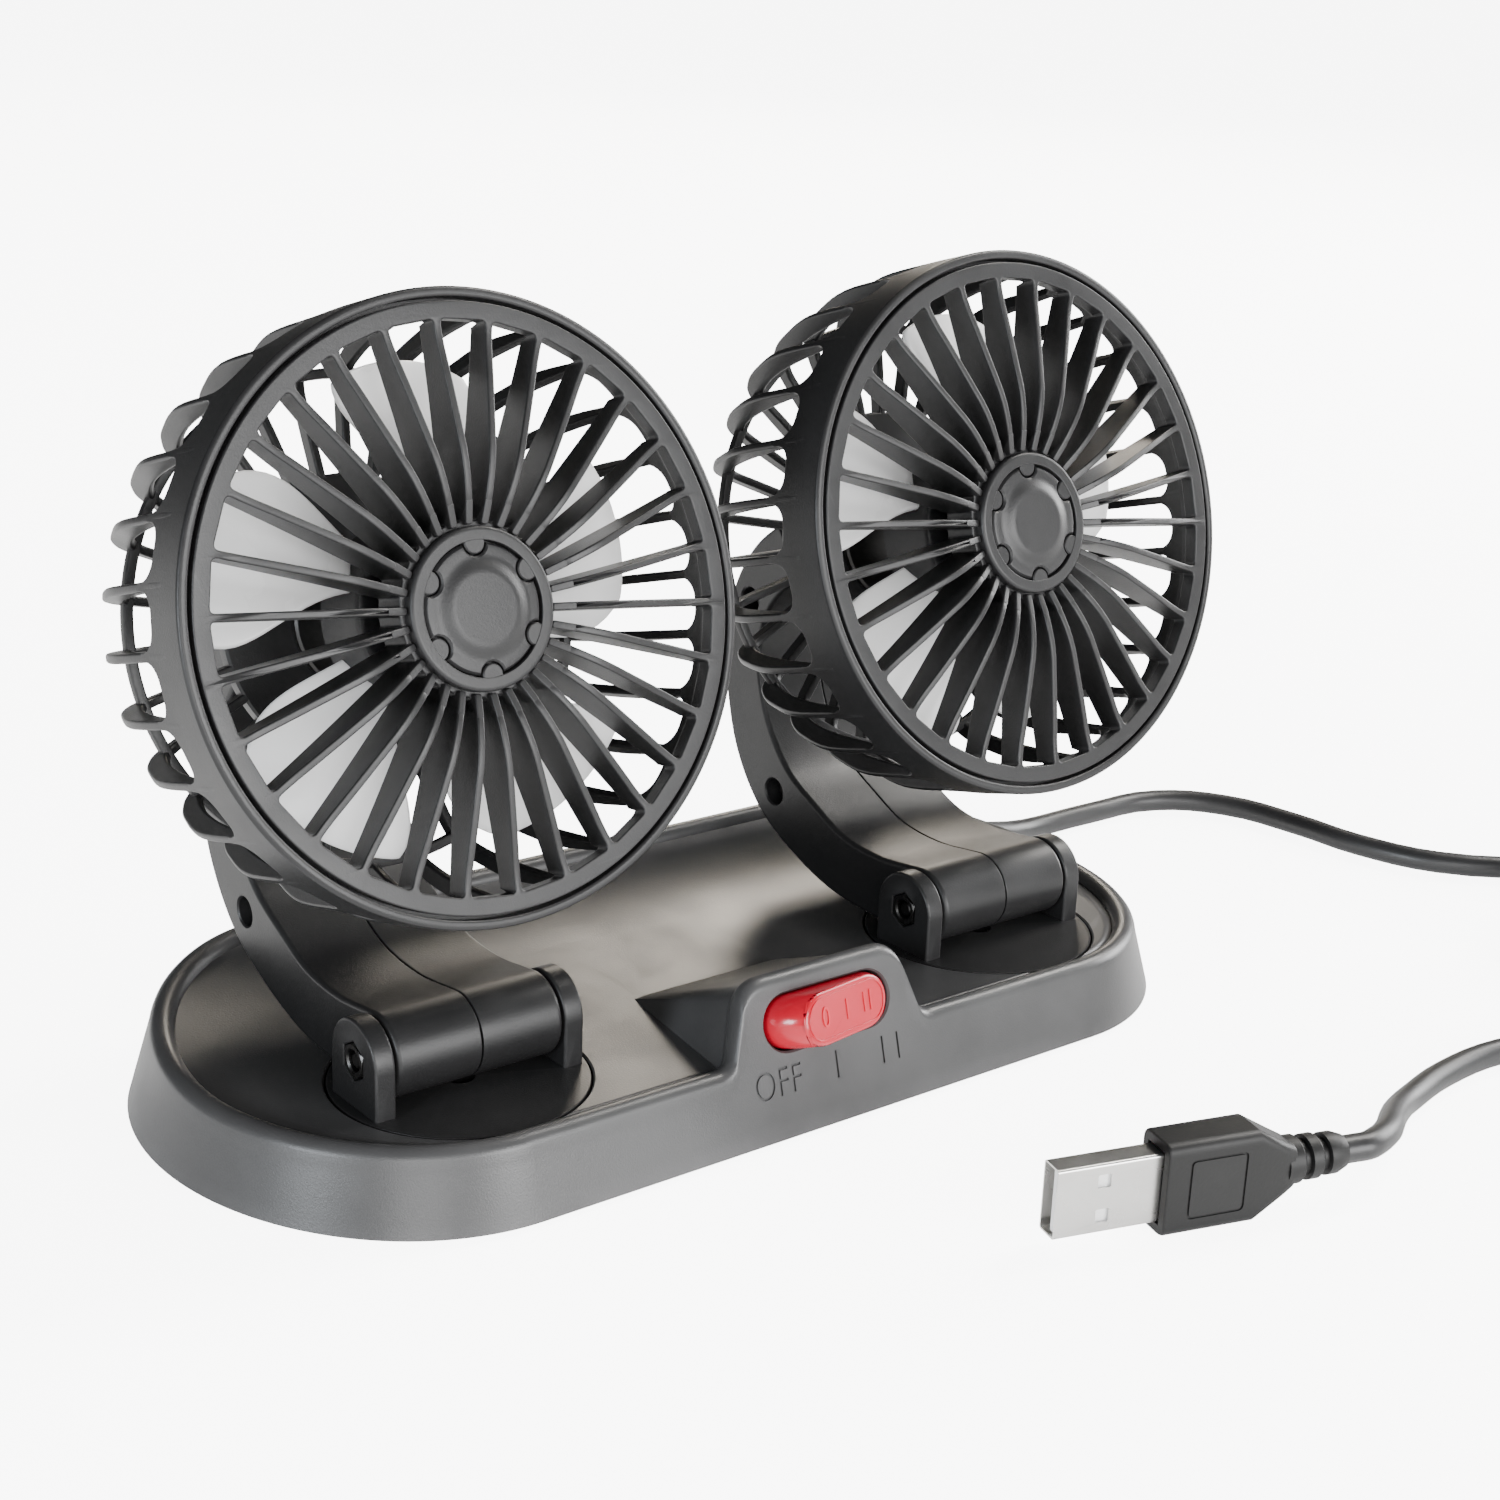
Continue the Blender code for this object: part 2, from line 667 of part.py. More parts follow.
def turntable():
    """Frame: origin in the middle of the disc's top."""
    low = -TURN_THICK
    end = low - HUB_DROP
    groove_low = end + CLIP_GROOVE
    groove_top = groove_low + CLIP_THICK + 2 * FIT_GAP
    groove = HUB_RADIUS - CLIP_GROOVE
    disc = rod(TURN_RADIUS, low, 0, TURN_STEPS)
    hub = turned([(0, low + EMBED), (HUB_RADIUS, low + EMBED), (HUB_RADIUS, groove_top), (groove, groove_top),
                  (groove, groove_low), (HUB_RADIUS, groove_low), (HUB_RADIUS, end), (0, end)], 12)
    half = EAR_OUTSIDE / 2
    ears = [prism(ear_outline(), -half, -half + EAR_THICK, "X"), prism(ear_outline(), half - EAR_THICK, half, "X")]
    disc = union(disc, hub, merged(ears))
    axis = (0, HINGE_HEIGHT)
    wire_hole = rod(HUB_BORE, end - OVERRUN, OVERRUN, 10)
    bore = rod(BOLT_RADIUS + FIT_GAP, -half - OVERRUN, half + OVERRUN, 10, "X", axis)
    seat = rod(BOLT_HEAD_RADIUS + FIT_GAP, half - BOLT_HEAD_THICK - FIT_GAP, half + OVERRUN, 12, "X", axis)
    corner = (NUT_FLATS / 2 + FIT_GAP) / math.cos(math.pi / 6)
    hexagon = rod(corner, -half - OVERRUN, -half + NUT_THICK + FIT_GAP, 6, "X", axis)
    return smooth(cut(disc, wire_hole, bore, seat, hexagon))


def ear_outline():
    """An ear's side view, as (y, z) above the disc: round over the hinge, straight down into the disc."""
    arc = [math.pi * k / EAR_STEPS for k in range(EAR_STEPS + 1)]
    outline = [(EAR_RADIUS * math.cos(a), HINGE_HEIGHT + EAR_RADIUS * math.sin(a)) for a in arc]
    return outline + [(-EAR_RADIUS, -EMBED), (EAR_RADIUS, -EMBED)]


def turntable_clip():
    """A split ring in the groove of the turntable's hub."""
    groove = HUB_RADIUS - CLIP_GROOVE + FIT_GAP
    low = -TURN_THICK - HUB_DROP + CLIP_GROOVE + FIT_GAP
    high = low + CLIP_THICK
    ring = turned([(groove, high), (CLIP_RADIUS, high), (CLIP_RADIUS, low), (groove, low)], 12)
    slot = block((0, -CLIP_SLOT / 2, low - OVERRUN), (CLIP_RADIUS + OVERRUN, CLIP_SLOT / 2, high + OVERRUN))
    return smooth(cut(ring, slot))


def hinge_bolt():
    """Along X, its head in the right ear; origin on the hinge axis."""
    half = EAR_OUTSIDE / 2
    head = half - BOLT_HEAD_THICK
    profile = [(0, half), (BOLT_HEAD_RADIUS, half), (BOLT_HEAD_RADIUS, head), (BOLT_RADIUS, head),
               (BOLT_RADIUS, -half + EMBED), (0, -half + EMBED)]
    bolt = turned(profile, 10)
    bolt.transform(Matrix.Rotation(math.pi / 2, 4, "Y"))
    return smooth(bolt)


def hinge_nut():
    half = EAR_OUTSIDE / 2
    corner = NUT_FLATS / 2 / math.cos(math.pi / 6)
    nut = rod(corner, -half, -half + NUT_THICK, 6, "X")
    hole = rod(BOLT_RADIUS + FIT_GAP, -half - OVERRUN, -half + NUT_THICK + OVERRUN, 10, "X")
    return cut(nut, hole)


# The arm's middle line from the hinge toward the head, as shares of its reach back and rise, and its half depth;
# it ends in the boss on the cage's back
ARM_PATH_SHARES = (
    (0.00, 0.000, 1.00),
    (0.22, -0.010, 0.87),
    (0.43, 0.006, 0.88),
    (0.61, 0.068, 0.94),
    (0.785, 0.158, 0.95),
    (0.91, 0.300, 0.90),
    (0.98, 0.475, 0.80),
    (1.00, 0.640, 0.76),
    (0.965, 0.800, 0.77),
    (0.88, 0.925, 0.80),
)
ARM_END_SHARE = 0.80


def arm_outline():
    """The arm's side view, as (y, z) about the hinge: round over the hinge, then along the middle line."""
    path = [(y * ARM_DEPTH, z * ARM_HEIGHT, half * BARREL_RADIUS) for y, z, half in ARM_PATH_SHARES]
    end = head_frame() @ Vector((0, 0, -CAGE_DEPTH - ARM_BOSS_LENGTH))
    path.append((end.y, end.z, ARM_END_SHARE * BARREL_RADIUS))
    line = smooth_line(path, 2)
    upper, lower = [], []
    for k, (y, z, half) in enumerate(line):
        before, after = line[max(k - 1, 0)], line[min(k + 1, len(line) - 1)]
        along = Vector((after[0] - before[0], after[1] - before[1])).normalized()
        side = Vector((-along.y, along.x)) * half
        upper.append(Vector((y, z)) + side)
        lower.append(Vector((y, z)) - side)
    start = math.atan2(upper[0].y, upper[0].x)
    turns = [start + math.pi * k / BARREL_STEPS for k in range(1, BARREL_STEPS)]
    barrel = [Vector((math.cos(a), math.sin(a))) * BARREL_RADIUS for a in turns]
    return [tuple(point) for point in lower + list(reversed(upper)) + barrel]


def arm_screw_places():
    """Where the two screws cross the arm, on its middle line."""
    shares = (ARM_PATH_SHARES[4], ARM_PATH_SHARES[8])
    return [(y * ARM_DEPTH, z * ARM_HEIGHT) for y, z, _ in shares]


def head_frame():
    """From the hinge to the head: Z out of the grille, X along the base."""
    return Matrix.Translation((0, -HEAD_FORWARD, HEAD_RISE)) @ Matrix.Rotation(FACE_TURN, 4, "X")


def arm_half(side):
    """Half of the arm's shell, split at its middle; side is -1 for left and 1 for right."""
    near, far = side * FIT_GAP / 2, side * BARREL_HALF
    low, high = sorted((-side * OVERRUN, far))
    body = rounded_end(prism(arm_outline(), low, high, "X"), far, ARM_EDGE)
    start = -CAGE_DEPTH - CAGE_BACK_THICK / 2 - FIT_GAP
    boss = moved(rod(ARM_BOSS_RADIUS, start - ARM_BOSS_LENGTH, start, 18), head_frame())
    low, high = sorted((-side * BARREL_HALF, near))
    other_side = block((low, -ARM_DEPTH, -ARM_HEIGHT), (high, 2 * ARM_DEPTH, 2 * ARM_HEIGHT))
    body = cut(union(body, boss), other_side)
    body = cut(body, rod(BOLT_RADIUS + FIT_GAP, -BARREL_HALF - OVERRUN, BARREL_HALF + OVERRUN, 10, "X"))
    recess_end = -BARREL_HALF + ARM_SCREW_DEPTH
    for place in arm_screw_places():
        hole = rod(ARM_SCREW_RADIUS + FIT_GAP, recess_end - EMBED, ARM_SCREW_BITE, 8, "X", place)
        body = cut(body, hole)
        if side < 0:
            body = cut(body, rod(ARM_SCREW_RECESS, -BARREL_HALF - OVERRUN, recess_end, 12, "X", place))
    return smooth(body)


def arm_screw():
    """Along +X, the head's outer face at the origin."""
    head = ARM_SCREW_HEAD_THICK
    end = BARREL_HALF - ARM_SCREW_DEPTH + ARM_SCREW_HEAD_THICK + ARM_SCREW_BITE - 2 * FIT_GAP
    profile = [(0, end), (ARM_SCREW_RADIUS, end), (ARM_SCREW_RADIUS, head), (ARM_SCREW_HEAD, head),
               (ARM_SCREW_HEAD, 0), (0, 0)]
    screw = turned(profile, 8)
    screw.transform(Matrix.Rotation(math.pi / 2, 4, "Y"))
    return smooth(screw)


def fin_outline():
    """One fin in (radius, height): bowed down the side, then a rib in to the rear disc."""
    root = -BAND_DEPTH - SLOT_ROUND * 0.7
    high, low = -CAGE_DEPTH + CAGE_BACK_THICK / 2, -CAGE_DEPTH - CAGE_BACK_THICK / 2
    disc = CAGE_DISC_RADIUS - EMBED
    outer = [(CAGE_RADIUS - EMBED, root)]
    outer += [(CAGE_RADIUS - FIN_BOW * drop, -CAGE_DEPTH * share) for share, drop in FIN_SHARES]
    outer += [(disc, low + EMBED), (disc, high - EMBED)]
    return outer + [(CAGE_REAR_RADIUS - FIN_WIDTH, high), (CAGE_RADIUS - CAGE_WALL + EMBED, root)]


def cage_band():
    """The front band; its rear edge runs down into each fin, which rounds the slots' ends."""
    band = turned([(CAGE_RADIUS - CAGE_WALL, 0), (CAGE_RADIUS, 0), (CAGE_RADIUS, -BAND_DEPTH),
                   (CAGE_RADIUS - CAGE_WALL, -BAND_DEPTH)], 3 * FIN_COUNT)
    pitch = math.tau / FIN_COUNT
    for vertex in band.vertices:
        turn = math.atan2(vertex.co.y, vertex.co.x) / pitch
        if vertex.co.z < -BAND_DEPTH / 2 and abs(turn - round(turn)) < 0.1:
            vertex.co.z -= SLOT_ROUND
    return band


def rear_cage():
    """Frame: origin in the middle of the front edge, Z forward."""
    fins = spun(prism(fin_outline(), -FIN_THICK / 2, FIN_THICK / 2, "Y"), FIN_COUNT)
    half = CAGE_BACK_THICK / 2
    back = -CAGE_DEPTH
    disc = turned([(0, back + half), (CAGE_DISC_RADIUS, back + half), (CAGE_DISC_RADIUS, back - half),
                   (0, back - half)], FIN_COUNT)
    cage = union(union(cage_band(), fins), disc, cage_lugs())
    return smooth(cage, 28.0)


def cage_lugs():
    """Small ledges inside the band that the grille rests on."""
    start = GRILLE_RIM_RADIUS - GRILLE_RIM_WIDTH * 0.6
    low = -GRILLE_RIM_THICK - FIT_GAP - LUG_THICK
    lug = block((start, -LUG_WIDTH / 2, low), (CAGE_RADIUS - CAGE_WALL / 2, LUG_WIDTH / 2, low + LUG_THICK))
    return spun(lug, LUG_COUNT, math.tau / FIN_COUNT)


def vane_outline():
    """One vane in (radius, height): its front edge bows forward between hub and rim."""
    hub = GRILLE_HUB_RADIUS - 2 * EMBED
    rim = GRILLE_RIM_RADIUS - GRILLE_RIM_WIDTH + 2 * EMBED
    low = -VANE_DEPTH
    points = [(hub + (rim - hub) * share, rise * VANE_BULGE) for share, rise in VANE_SHARES]
    return points + [(rim, -EMBED / 2), (rim, low * 0.75), (hub, low)]


def front_grille():
    rim_in = GRILLE_RIM_RADIUS - GRILLE_RIM_WIDTH
    thick = GRILLE_RIM_THICK
    rim = turned([(rim_in, 0), (GRILLE_RIM_RADIUS, 0), (GRILLE_RIM_RADIUS, -thick)], 48)
    seat = GRILLE_HUB_RISE - CAP_SEAT
    pocket = CAP_RADIUS + FIT_GAP
    hub = turned([(0, seat), (pocket, seat), (pocket, GRILLE_HUB_RISE), (GRILLE_HUB_RADIUS, GRILLE_HUB_RISE),
                  (GRILLE_HUB_RADIUS, -VANE_DEPTH - EMBED), (0, -VANE_DEPTH - EMBED)], 30)
    vane = prism(vane_outline(), -VANE_THICK / 2, VANE_THICK / 2, "Y")
    vanes = spun(vane, VANE_COUNT, math.tau / VANE_COUNT / 2)
    return smooth(union(merged([rim, hub]), vanes), 28.0)


def grille_cap():
    """The hub's cap, with a low dome and a ring of round notches."""
    low = GRILLE_HUB_RISE - CAP_SEAT + FIT_GAP
    top = GRILLE_HUB_RISE
    profile = [(0, top + CAP_DOME), (CAP_DOME_RADIUS, top + CAP_DOME), (CAP_RADIUS, top), (CAP_RADIUS, low), (0, low)]
    cap = turned(profile, 24)
    places = circle(CAP_RADIUS, CAP_NOTCHES, turn=math.pi / CAP_NOTCHES)
    notches = [rod(CAP_NOTCH_RADIUS, low - OVERRUN, top + OVERRUN, 8, centre=place) for place in places]
    return smooth(cut(cap, merged(notches)))


def motor_can():
    back = -CAGE_DEPTH + CAGE_BACK_THICK / 2 + FIT_GAP
    top = back + MOTOR_LENGTH
    hole = SHAFT_RADIUS + FIT_GAP
    profile = [(hole, top), (MOTOR_RADIUS, top), (MOTOR_RADIUS, back), (hole, back)]
    return smooth(turned(profile, 16))


def motor_shaft():
    back = -CAGE_DEPTH + CAGE_BACK_THICK / 2 + 2 * FIT_GAP
    top = back + MOTOR_LENGTH + SHAFT_LENGTH
    return smooth(turned([(0, top), (SHAFT_RADIUS, top), (SHAFT_RADIUS, back), (0, back)], 8))


def fan_blade():
    """One pitched blade about Z, rooted in the sleeve."""
    bm = bmesh.new()
    root = FAN_SLEEVE_RADIUS - FAN_SLEEVE_WALL / 2
    middle_z = FAN_FRONT_Z - FAN_DEPTH / 2
    grid = []
    for i in range(4):
        share = i / 3
        radius = root + (FAN_RADIUS - root) * share
        span = BLADE_ROOT_SPAN + (BLADE_TIP_SPAN - BLADE_ROOT_SPAN) * math.sin(share * math.pi / 2)
        round_off = 1.0 - 0.30 * share**4
        pitch = FAN_PITCH * (1 - 0.35 * share)
        row = []
        for j in range(4):
            across = (j / 3 - 0.5) * round_off
            angle = BLADE_SWEEP * share + span * across
            height = middle_z + span * across * root * math.tan(pitch) * 1.25
            row.append((radius * math.cos(angle), radius * math.sin(angle), height))
        grid.append(row)
    faces = [[bm.verts.new(p) for p in row] for row in grid]
    for low, high in zip(faces, faces[1:]):
        for k in range(3):
            bm.faces.new((low[k], low[k + 1], high[k + 1], high[k]))
    blade = scratch(mesh_from(bm, "blade"))
    skin = blade.modifiers.new("skin", "SOLIDIFY")
    skin.thickness = BLADE_THICK
    skin.offset = 0.0
    return outward(evaluated(blade))


def fan():
    inner = FAN_SLEEVE_RADIUS - FAN_SLEEVE_WALL
    low = FAN_FRONT_Z - FAN_DEPTH
    sleeve = turned([(inner, FAN_FRONT_Z), (FAN_SLEEVE_RADIUS, FAN_FRONT_Z), (FAN_SLEEVE_RADIUS, low), (inner, low)],
                    20)
    blades = spun(fan_blade(), FAN_BLADES)
    hollow = rod(inner, low - OVERRUN, FAN_FRONT_Z + OVERRUN, 20)
    return smooth(cut(union(sleeve, blades), hollow))


def fan_hub():
    """The dark cup inside the fan's sleeve, pressed on the shaft."""
    outside = FAN_SLEEVE_RADIUS - FAN_SLEEVE_WALL - FIT_GAP
    low = FAN_FRONT_Z - FAN_DEPTH
    inside = MOTOR_RADIUS + RUN_GAP
    roof = FAN_FRONT_Z - FAN_CAP_WALL
    bore = SHAFT_RADIUS + FIT_GAP
    blind = FAN_FRONT_Z - FAN_CAP_WALL / 3
    profile = [(0, FAN_FRONT_Z), (outside, FAN_FRONT_Z), (outside, low), (inside, low), (inside, roof),
               (bore, roof), (bore, blind), (0, blind)]
    return smooth(turned(profile, 18))


def rocker_frame(tilt):
    """On the rocker's axis, behind the panel's face."""
    return panel_frame() @ Matrix.Translation((0, 0, -ROCKER_DEPTH)) @ Matrix.Rotation(tilt, 4, "Y")


def rocker_button():
    """Frame: origin on the pivot, Y along it, Z out. Its slot-shaped plan is spun about the pivot, so it clears
    the slot at any throw, then cut flat at the face and the back."""
    half_length, half_height = ROCKER_LENGTH / 2, ROCKER_HEIGHT / 2
    arc = [point for point in stadium(half_length, half_height, 6) if point[0] > 0]
    swing = turned([(0, half_height), *reversed(arc), (0, -half_height)], 40)
    swing.transform(Matrix.Rotation(math.pi / 2, 4, "X"))
    slab = block((-ROCKER_LENGTH, -ROCKER_HEIGHT, -ROCKER_BACK), (ROCKER_LENGTH, ROCKER_HEIGHT, ROCKER_FACE))
    return smooth(combine(swing, slab, "INTERSECT"))


def switch_body():
    """The switch under the rocker: a ridge it rocks on, on a post from the plate."""
    top = -ROCKER_DEPTH - ROCKER_BACK - FIT_GAP
    end, low = top - SWITCH_HALF_LENGTH * math.tan(SWITCH_FALL), top - SWITCH_THICK
    outline = [(-SWITCH_HALF_LENGTH, end), (-SWITCH_HALF_LENGTH, low), (SWITCH_HALF_LENGTH, low),
               (SWITCH_HALF_LENGTH, end), (0, top)]
    ridge = moved(prism(outline, -SWITCH_HALF_HEIGHT, SWITCH_HALF_HEIGHT, "Y"), panel_frame())
    post = block((-SWITCH_HALF_LENGTH + EMBED, SWITCH_POST_Y, plate_top() + FIT_GAP),
                 (SWITCH_HALF_LENGTH - EMBED, SWITCH_POST_Y + SWITCH_POST_WIDTH, SWITCH_POST_TOP_Z))
    return union(ridge, post)


def circuit_board():
    low = plate_top() + BOARD_POST + FIT_GAP
    return block((-BOARD_LENGTH / 2, BOARD_Y - BOARD_DEPTH / 2, low),
                 (BOARD_LENGTH / 2, BOARD_Y + BOARD_DEPTH / 2, low + BOARD_THICK))


def antislip_pad():
    return prism(stadium(PAD_HALF_LENGTH, PAD_HALF_DEPTH, PAD_STEPS), 0, PLATE_LIFT + PAD_RECESS - FIT_GAP)


def exit_frame():
    """At the cord's way out of the base: Z outward and level, origin on the wall's outer face."""
    straight = BASE_HALF_LENGTH - BASE_END_LENGTH
    c, s = math.cos(CORD_EXIT_TURN), math.sin(CORD_EXIT_TURN)
    normal = Vector((c / BASE_END_LENGTH, s / BASE_HALF_DEPTH, 0)).normalized()
    inset = CORD_EXIT_Z * math.tan(WALL_LEAN)
    point = Vector((straight + BASE_END_LENGTH * c, BASE_HALF_DEPTH * s, CORD_EXIT_Z)) - normal * inset
    turn = normal.to_track_quat("Z", "Y").to_matrix().to_4x4()
    return Matrix.Translation(point) @ turn


def cord_grommet():
    """The strain relief in the wall, its collar ringed, its bore round the cord."""
    inside = -WALL - FIT_GAP - GROMMET_FLANGE_THICK
    step = GROMMET_REACH / GROMMET_RINGS
    profile = [(0, GROMMET_REACH)]
    for k in range(GROMMET_RINGS):
        top = GROMMET_REACH - k * step
        narrow = CORD_RADIUS + WALL / 4
        wide = GROMMET_RADIUS
        profile += [(wide, top), (wide, top - step * 0.6), (narrow, top - step * 0.6), (narrow, top - step)]
    profile += [(GROMMET_RADIUS, 0), (GROMMET_RADIUS, inside), (0, inside)]
    return smooth(turned(profile, 12))


def straight_end(place, heading):
    """Three points in line, so that a cord leaves its end straight for one diameter."""
    return [place + heading * (FIT_GAP + CORD_DIAMETER * share) for share in (0, 0.5, 1.0)]


def cord_out_points():
    """From the grommet round the right side and out to the coil, laid on the floor."""
    frame = exit_frame()
    start = straight_end(frame @ Vector((0, 0, GROMMET_REACH)), frame.to_3x3() @ Vector((0, 0, 1)))
    coil = coil_points()
    arrive, after = Vector(coil[0]), Vector(coil[1])
    end = straight_end(arrive, (arrive - after).normalized())
    return smooth_line([*start, *CORD_OUT_ROUTE, *reversed(end)], 2)


def cord_in_points():
    """From the coil to the plug."""
    leave, heading = coil_leaves()
    frame = plug_frame()
    end = straight_end(frame @ Vector((0, 0, -PLUG_RELIEF_LENGTH)), frame.to_3x3() @ Vector((0, 0, -1)))
    return smooth_line([*straight_end(leave, heading), *CORD_IN_ROUTE, *reversed(end)], 2)


def coil_low():
    """Height of the lower layer's middle line, above the tie's lower side."""
    return TIE_THICK + FIT_GAP + CORD_RADIUS


def coil_points():
    """Two layers: in along the floor, up over the half turn where the spiral reverses, and out again."""
    pitch = CORD_DIAMETER + COIL_GAP
    sweep = (2 * COIL_TURNS * math.tau - COIL_LEAVES_AT) if COIL_LEAVES_AT > 0 else \
        2 * COIL_TURNS * math.tau - COIL_LEAVES_AT - math.tau
    count = round(sweep / math.tau * COIL_LOOP_POINTS)
    middle = sweep / 2
    points = []
    for k in range(count + 1):
        angle = sweep * k / count
        radius = COIL_RADIUS - pitch * min(angle, sweep - angle) / math.tau
        climb = min(1.0, max(0.0, (angle - middle + math.pi / 2) / math.pi))
        height = coil_low() + pitch * (3 * climb**2 - 2 * climb**3)
        points.append((COIL_CENTRE[0] + radius * math.cos(-angle), COIL_CENTRE[1] + radius * math.sin(-angle), height))
    return points


def coil_leaves():
    points = coil_points()
    last = Vector(points[-1])
    return last, (last - Vector(points[-2])).normalized()


def least_gap(points, diameter, apart):
    """The least distance between parts of a line that lie at least so many points apart, less its diameter."""
    rows = np.array(points)
    least = min(np.linalg.norm(rows[k + apart:] - rows[k], axis=1).min() for k in range(len(rows) - apart))
    return least - diameter


def tube(points, radius, resolution):
    curve = bpy.data.curves.new("tube", "CURVE")
    curve.dimensions = "3D"
    curve.bevel_depth = radius
    curve.bevel_resolution = resolution
    curve.use_fill_caps = True
    spline = curve.splines.new("POLY")
    spline.points.add(len(points) - 1)
    for place, point in zip(spline.points, points):
        place.co = (*point, 1)
    return smooth(outward(evaluated(scratch(curve))), 60.0)


def coil_tie():
    """A strap round the bundle of turns."""
    pitch = CORD_DIAMETER + COIL_GAP
    turns = len(coil_points()) / COIL_LOOP_POINTS / 2
    inner = COIL_RADIUS - pitch * turns - CORD_RADIUS - FIT_GAP - COIL_GAP
    outer = COIL_RADIUS + CORD_RADIUS + FIT_GAP
    low, high = TIE_THICK, coil_low() + pitch + CORD_RADIUS + FIT_GAP
    half = TIE_WIDTH / 2
    strap = block((inner - TIE_THICK, -half, 0), (outer + TIE_THICK, half, high + TIE_THICK))
    room = block((inner, -half - OVERRUN, low), (outer, half + OVERRUN, high))
    place = Matrix.Translation((*COIL_CENTRE, 0)) @ Matrix.Rotation(TIE_AT, 4, "Z")
    return moved(cut(strap, room), place)


def plug_frame():
    """At the moulding's rear face: Z toward the contacts, X up, so the plug stands on its narrow side."""
    along = Vector((math.cos(PLUG_TURN), math.sin(PLUG_TURN), 0))
    up = Vector((0, 0, 1))
    side = along.cross(up)
    turn = Matrix((up, side, along)).transposed().to_4x4()
    end = Vector((*PLUG_END, PLUG_WIDTH / 2))
    return Matrix.Translation(end + along * PLUG_RELIEF_LENGTH) @ turn


def plug_overmold():
    half_w, half_t = PLUG_WIDTH / 2, PLUG_THICK / 2
    chamfer = half_t / 2
    outline = [(half_w, -half_t + chamfer), (half_w, half_t - chamfer), (half_w - chamfer, half_t),
               (-half_w + chamfer, half_t), (-half_w, half_t - chamfer), (-half_w, -half_t + chamfer),
               (-half_w + chamfer, -half_t), (half_w - chamfer, -half_t)]
    body = prism(outline, PLUG_LENGTH / 5, PLUG_LENGTH)
    shoulder = loft_between(outline, PLUG_LENGTH / 5 + EMBED, 0.55, 0)
    step = PLUG_RELIEF_LENGTH / 3
    profile = [(0, EMBED)]
    for k in range(3):
        top = -k * step
        wide = PLUG_RELIEF_RADIUS - k * EMBED / 2
        profile += [(wide, top + (EMBED if k == 0 else 0)), (wide, top - step * 0.62),
                    (wide - 2 * EMBED, top - step * 0.62), (wide - 2 * EMBED, top - step)]
    profile += [(0, -PLUG_RELIEF_LENGTH)]
    relief = turned(profile, 8)
    body = union(body, shoulder, relief)
    socket = block((-PLUG_SHELL_WIDTH / 2 - FIT_GAP, -PLUG_SHELL_THICK / 2 - FIT_GAP, PLUG_LENGTH - PLUG_SHELL_THICK),
                   (PLUG_SHELL_WIDTH / 2 + FIT_GAP, PLUG_SHELL_THICK / 2 + FIT_GAP, PLUG_LENGTH + OVERRUN))
    return smooth(moved(cut(body, socket), plug_frame()))


def loft_between(outline, high, share, low):
    """A body that narrows from an outline at one height to a share of it at another."""
    small = [(a * share, b * (1 + share) / 2, low) for a, b in outline]
    return lofted([small, [(a, b, high) for a, b in outline]])


def plug_shell():
    """The folded metal sleeve, open at its front, with two windows a side."""
    half_w, half_t = PLUG_SHELL_WIDTH / 2, PLUG_SHELL_THICK / 2
    start = PLUG_LENGTH - PLUG_SHELL_THICK + FIT_GAP
    end = PLUG_LENGTH + PLUG_SHELL_LENGTH
    shell = block((-half_w, -half_t, start), (half_w, half_t, end))
    room = block((-half_w + PLUG_SHELL_WALL, -half_t + PLUG_SHELL_WALL, start - OVERRUN),
                 (half_w - PLUG_SHELL_WALL, half_t - PLUG_SHELL_WALL, end + OVERRUN))
    shell = cut(shell, room)
    window = PLUG_SHELL_WIDTH / 10
    middle = PLUG_LENGTH + 0.55 * PLUG_SHELL_LENGTH
    for side in (-1, 1):
        centre = side * PLUG_SHELL_WIDTH / 4
        shell = cut(shell, block((centre - window, -half_t - OVERRUN, middle - window),
                                 (centre + window, half_t + OVERRUN, middle + window)))
    return moved(shell, plug_frame())


def plug_tongue():
    half_w = PLUG_SHELL_WIDTH / 2 - PLUG_SHELL_WALL - FIT_GAP
    low = -PLUG_SHELL_THICK / 2 + PLUG_SHELL_WALL + FIT_GAP
    start = PLUG_LENGTH - PLUG_SHELL_THICK + 2 * FIT_GAP
    end = PLUG_LENGTH + PLUG_SHELL_LENGTH - 2 * FIT_GAP
    return moved(block((-half_w, low, start), (half_w, low + PLUG_TONGUE_THICK, end)), plug_frame())


def add(parts, name, mesh, look, parent=None, local=None):
    made = bpy.data.objects.new(name, mesh)
    parts.objects.link(made)
    made.data.materials.clear()
    made.data.materials.append(look)
    made.parent = parent
    made.matrix_local = local or Matrix.Identity(4)
    return made


def build_base(parts, looks):
    add(parts, "base_shell", base_shell(), looks["grey"])
    add(parts, "base_plate", base_plate(), looks["dark"])
    add(parts, "antislip_pad", antislip_pad(), looks["rubber"])
    screw = base_screw()
    for number, (x, y) in enumerate(base_screw_places(), 1):
        add(parts, f"base_screw_{number}", screw, looks["steel"],
            local=Matrix.Translation((x, y, PLATE_LIFT)))
    add(parts, "circuit_board", circuit_board(), looks["board"])
    add(parts, "switch_body", switch_body(), looks["dark"])
    add(parts, "rocker_button", rocker_button(), looks["red"], local=rocker_frame(ROCKER_THROW))


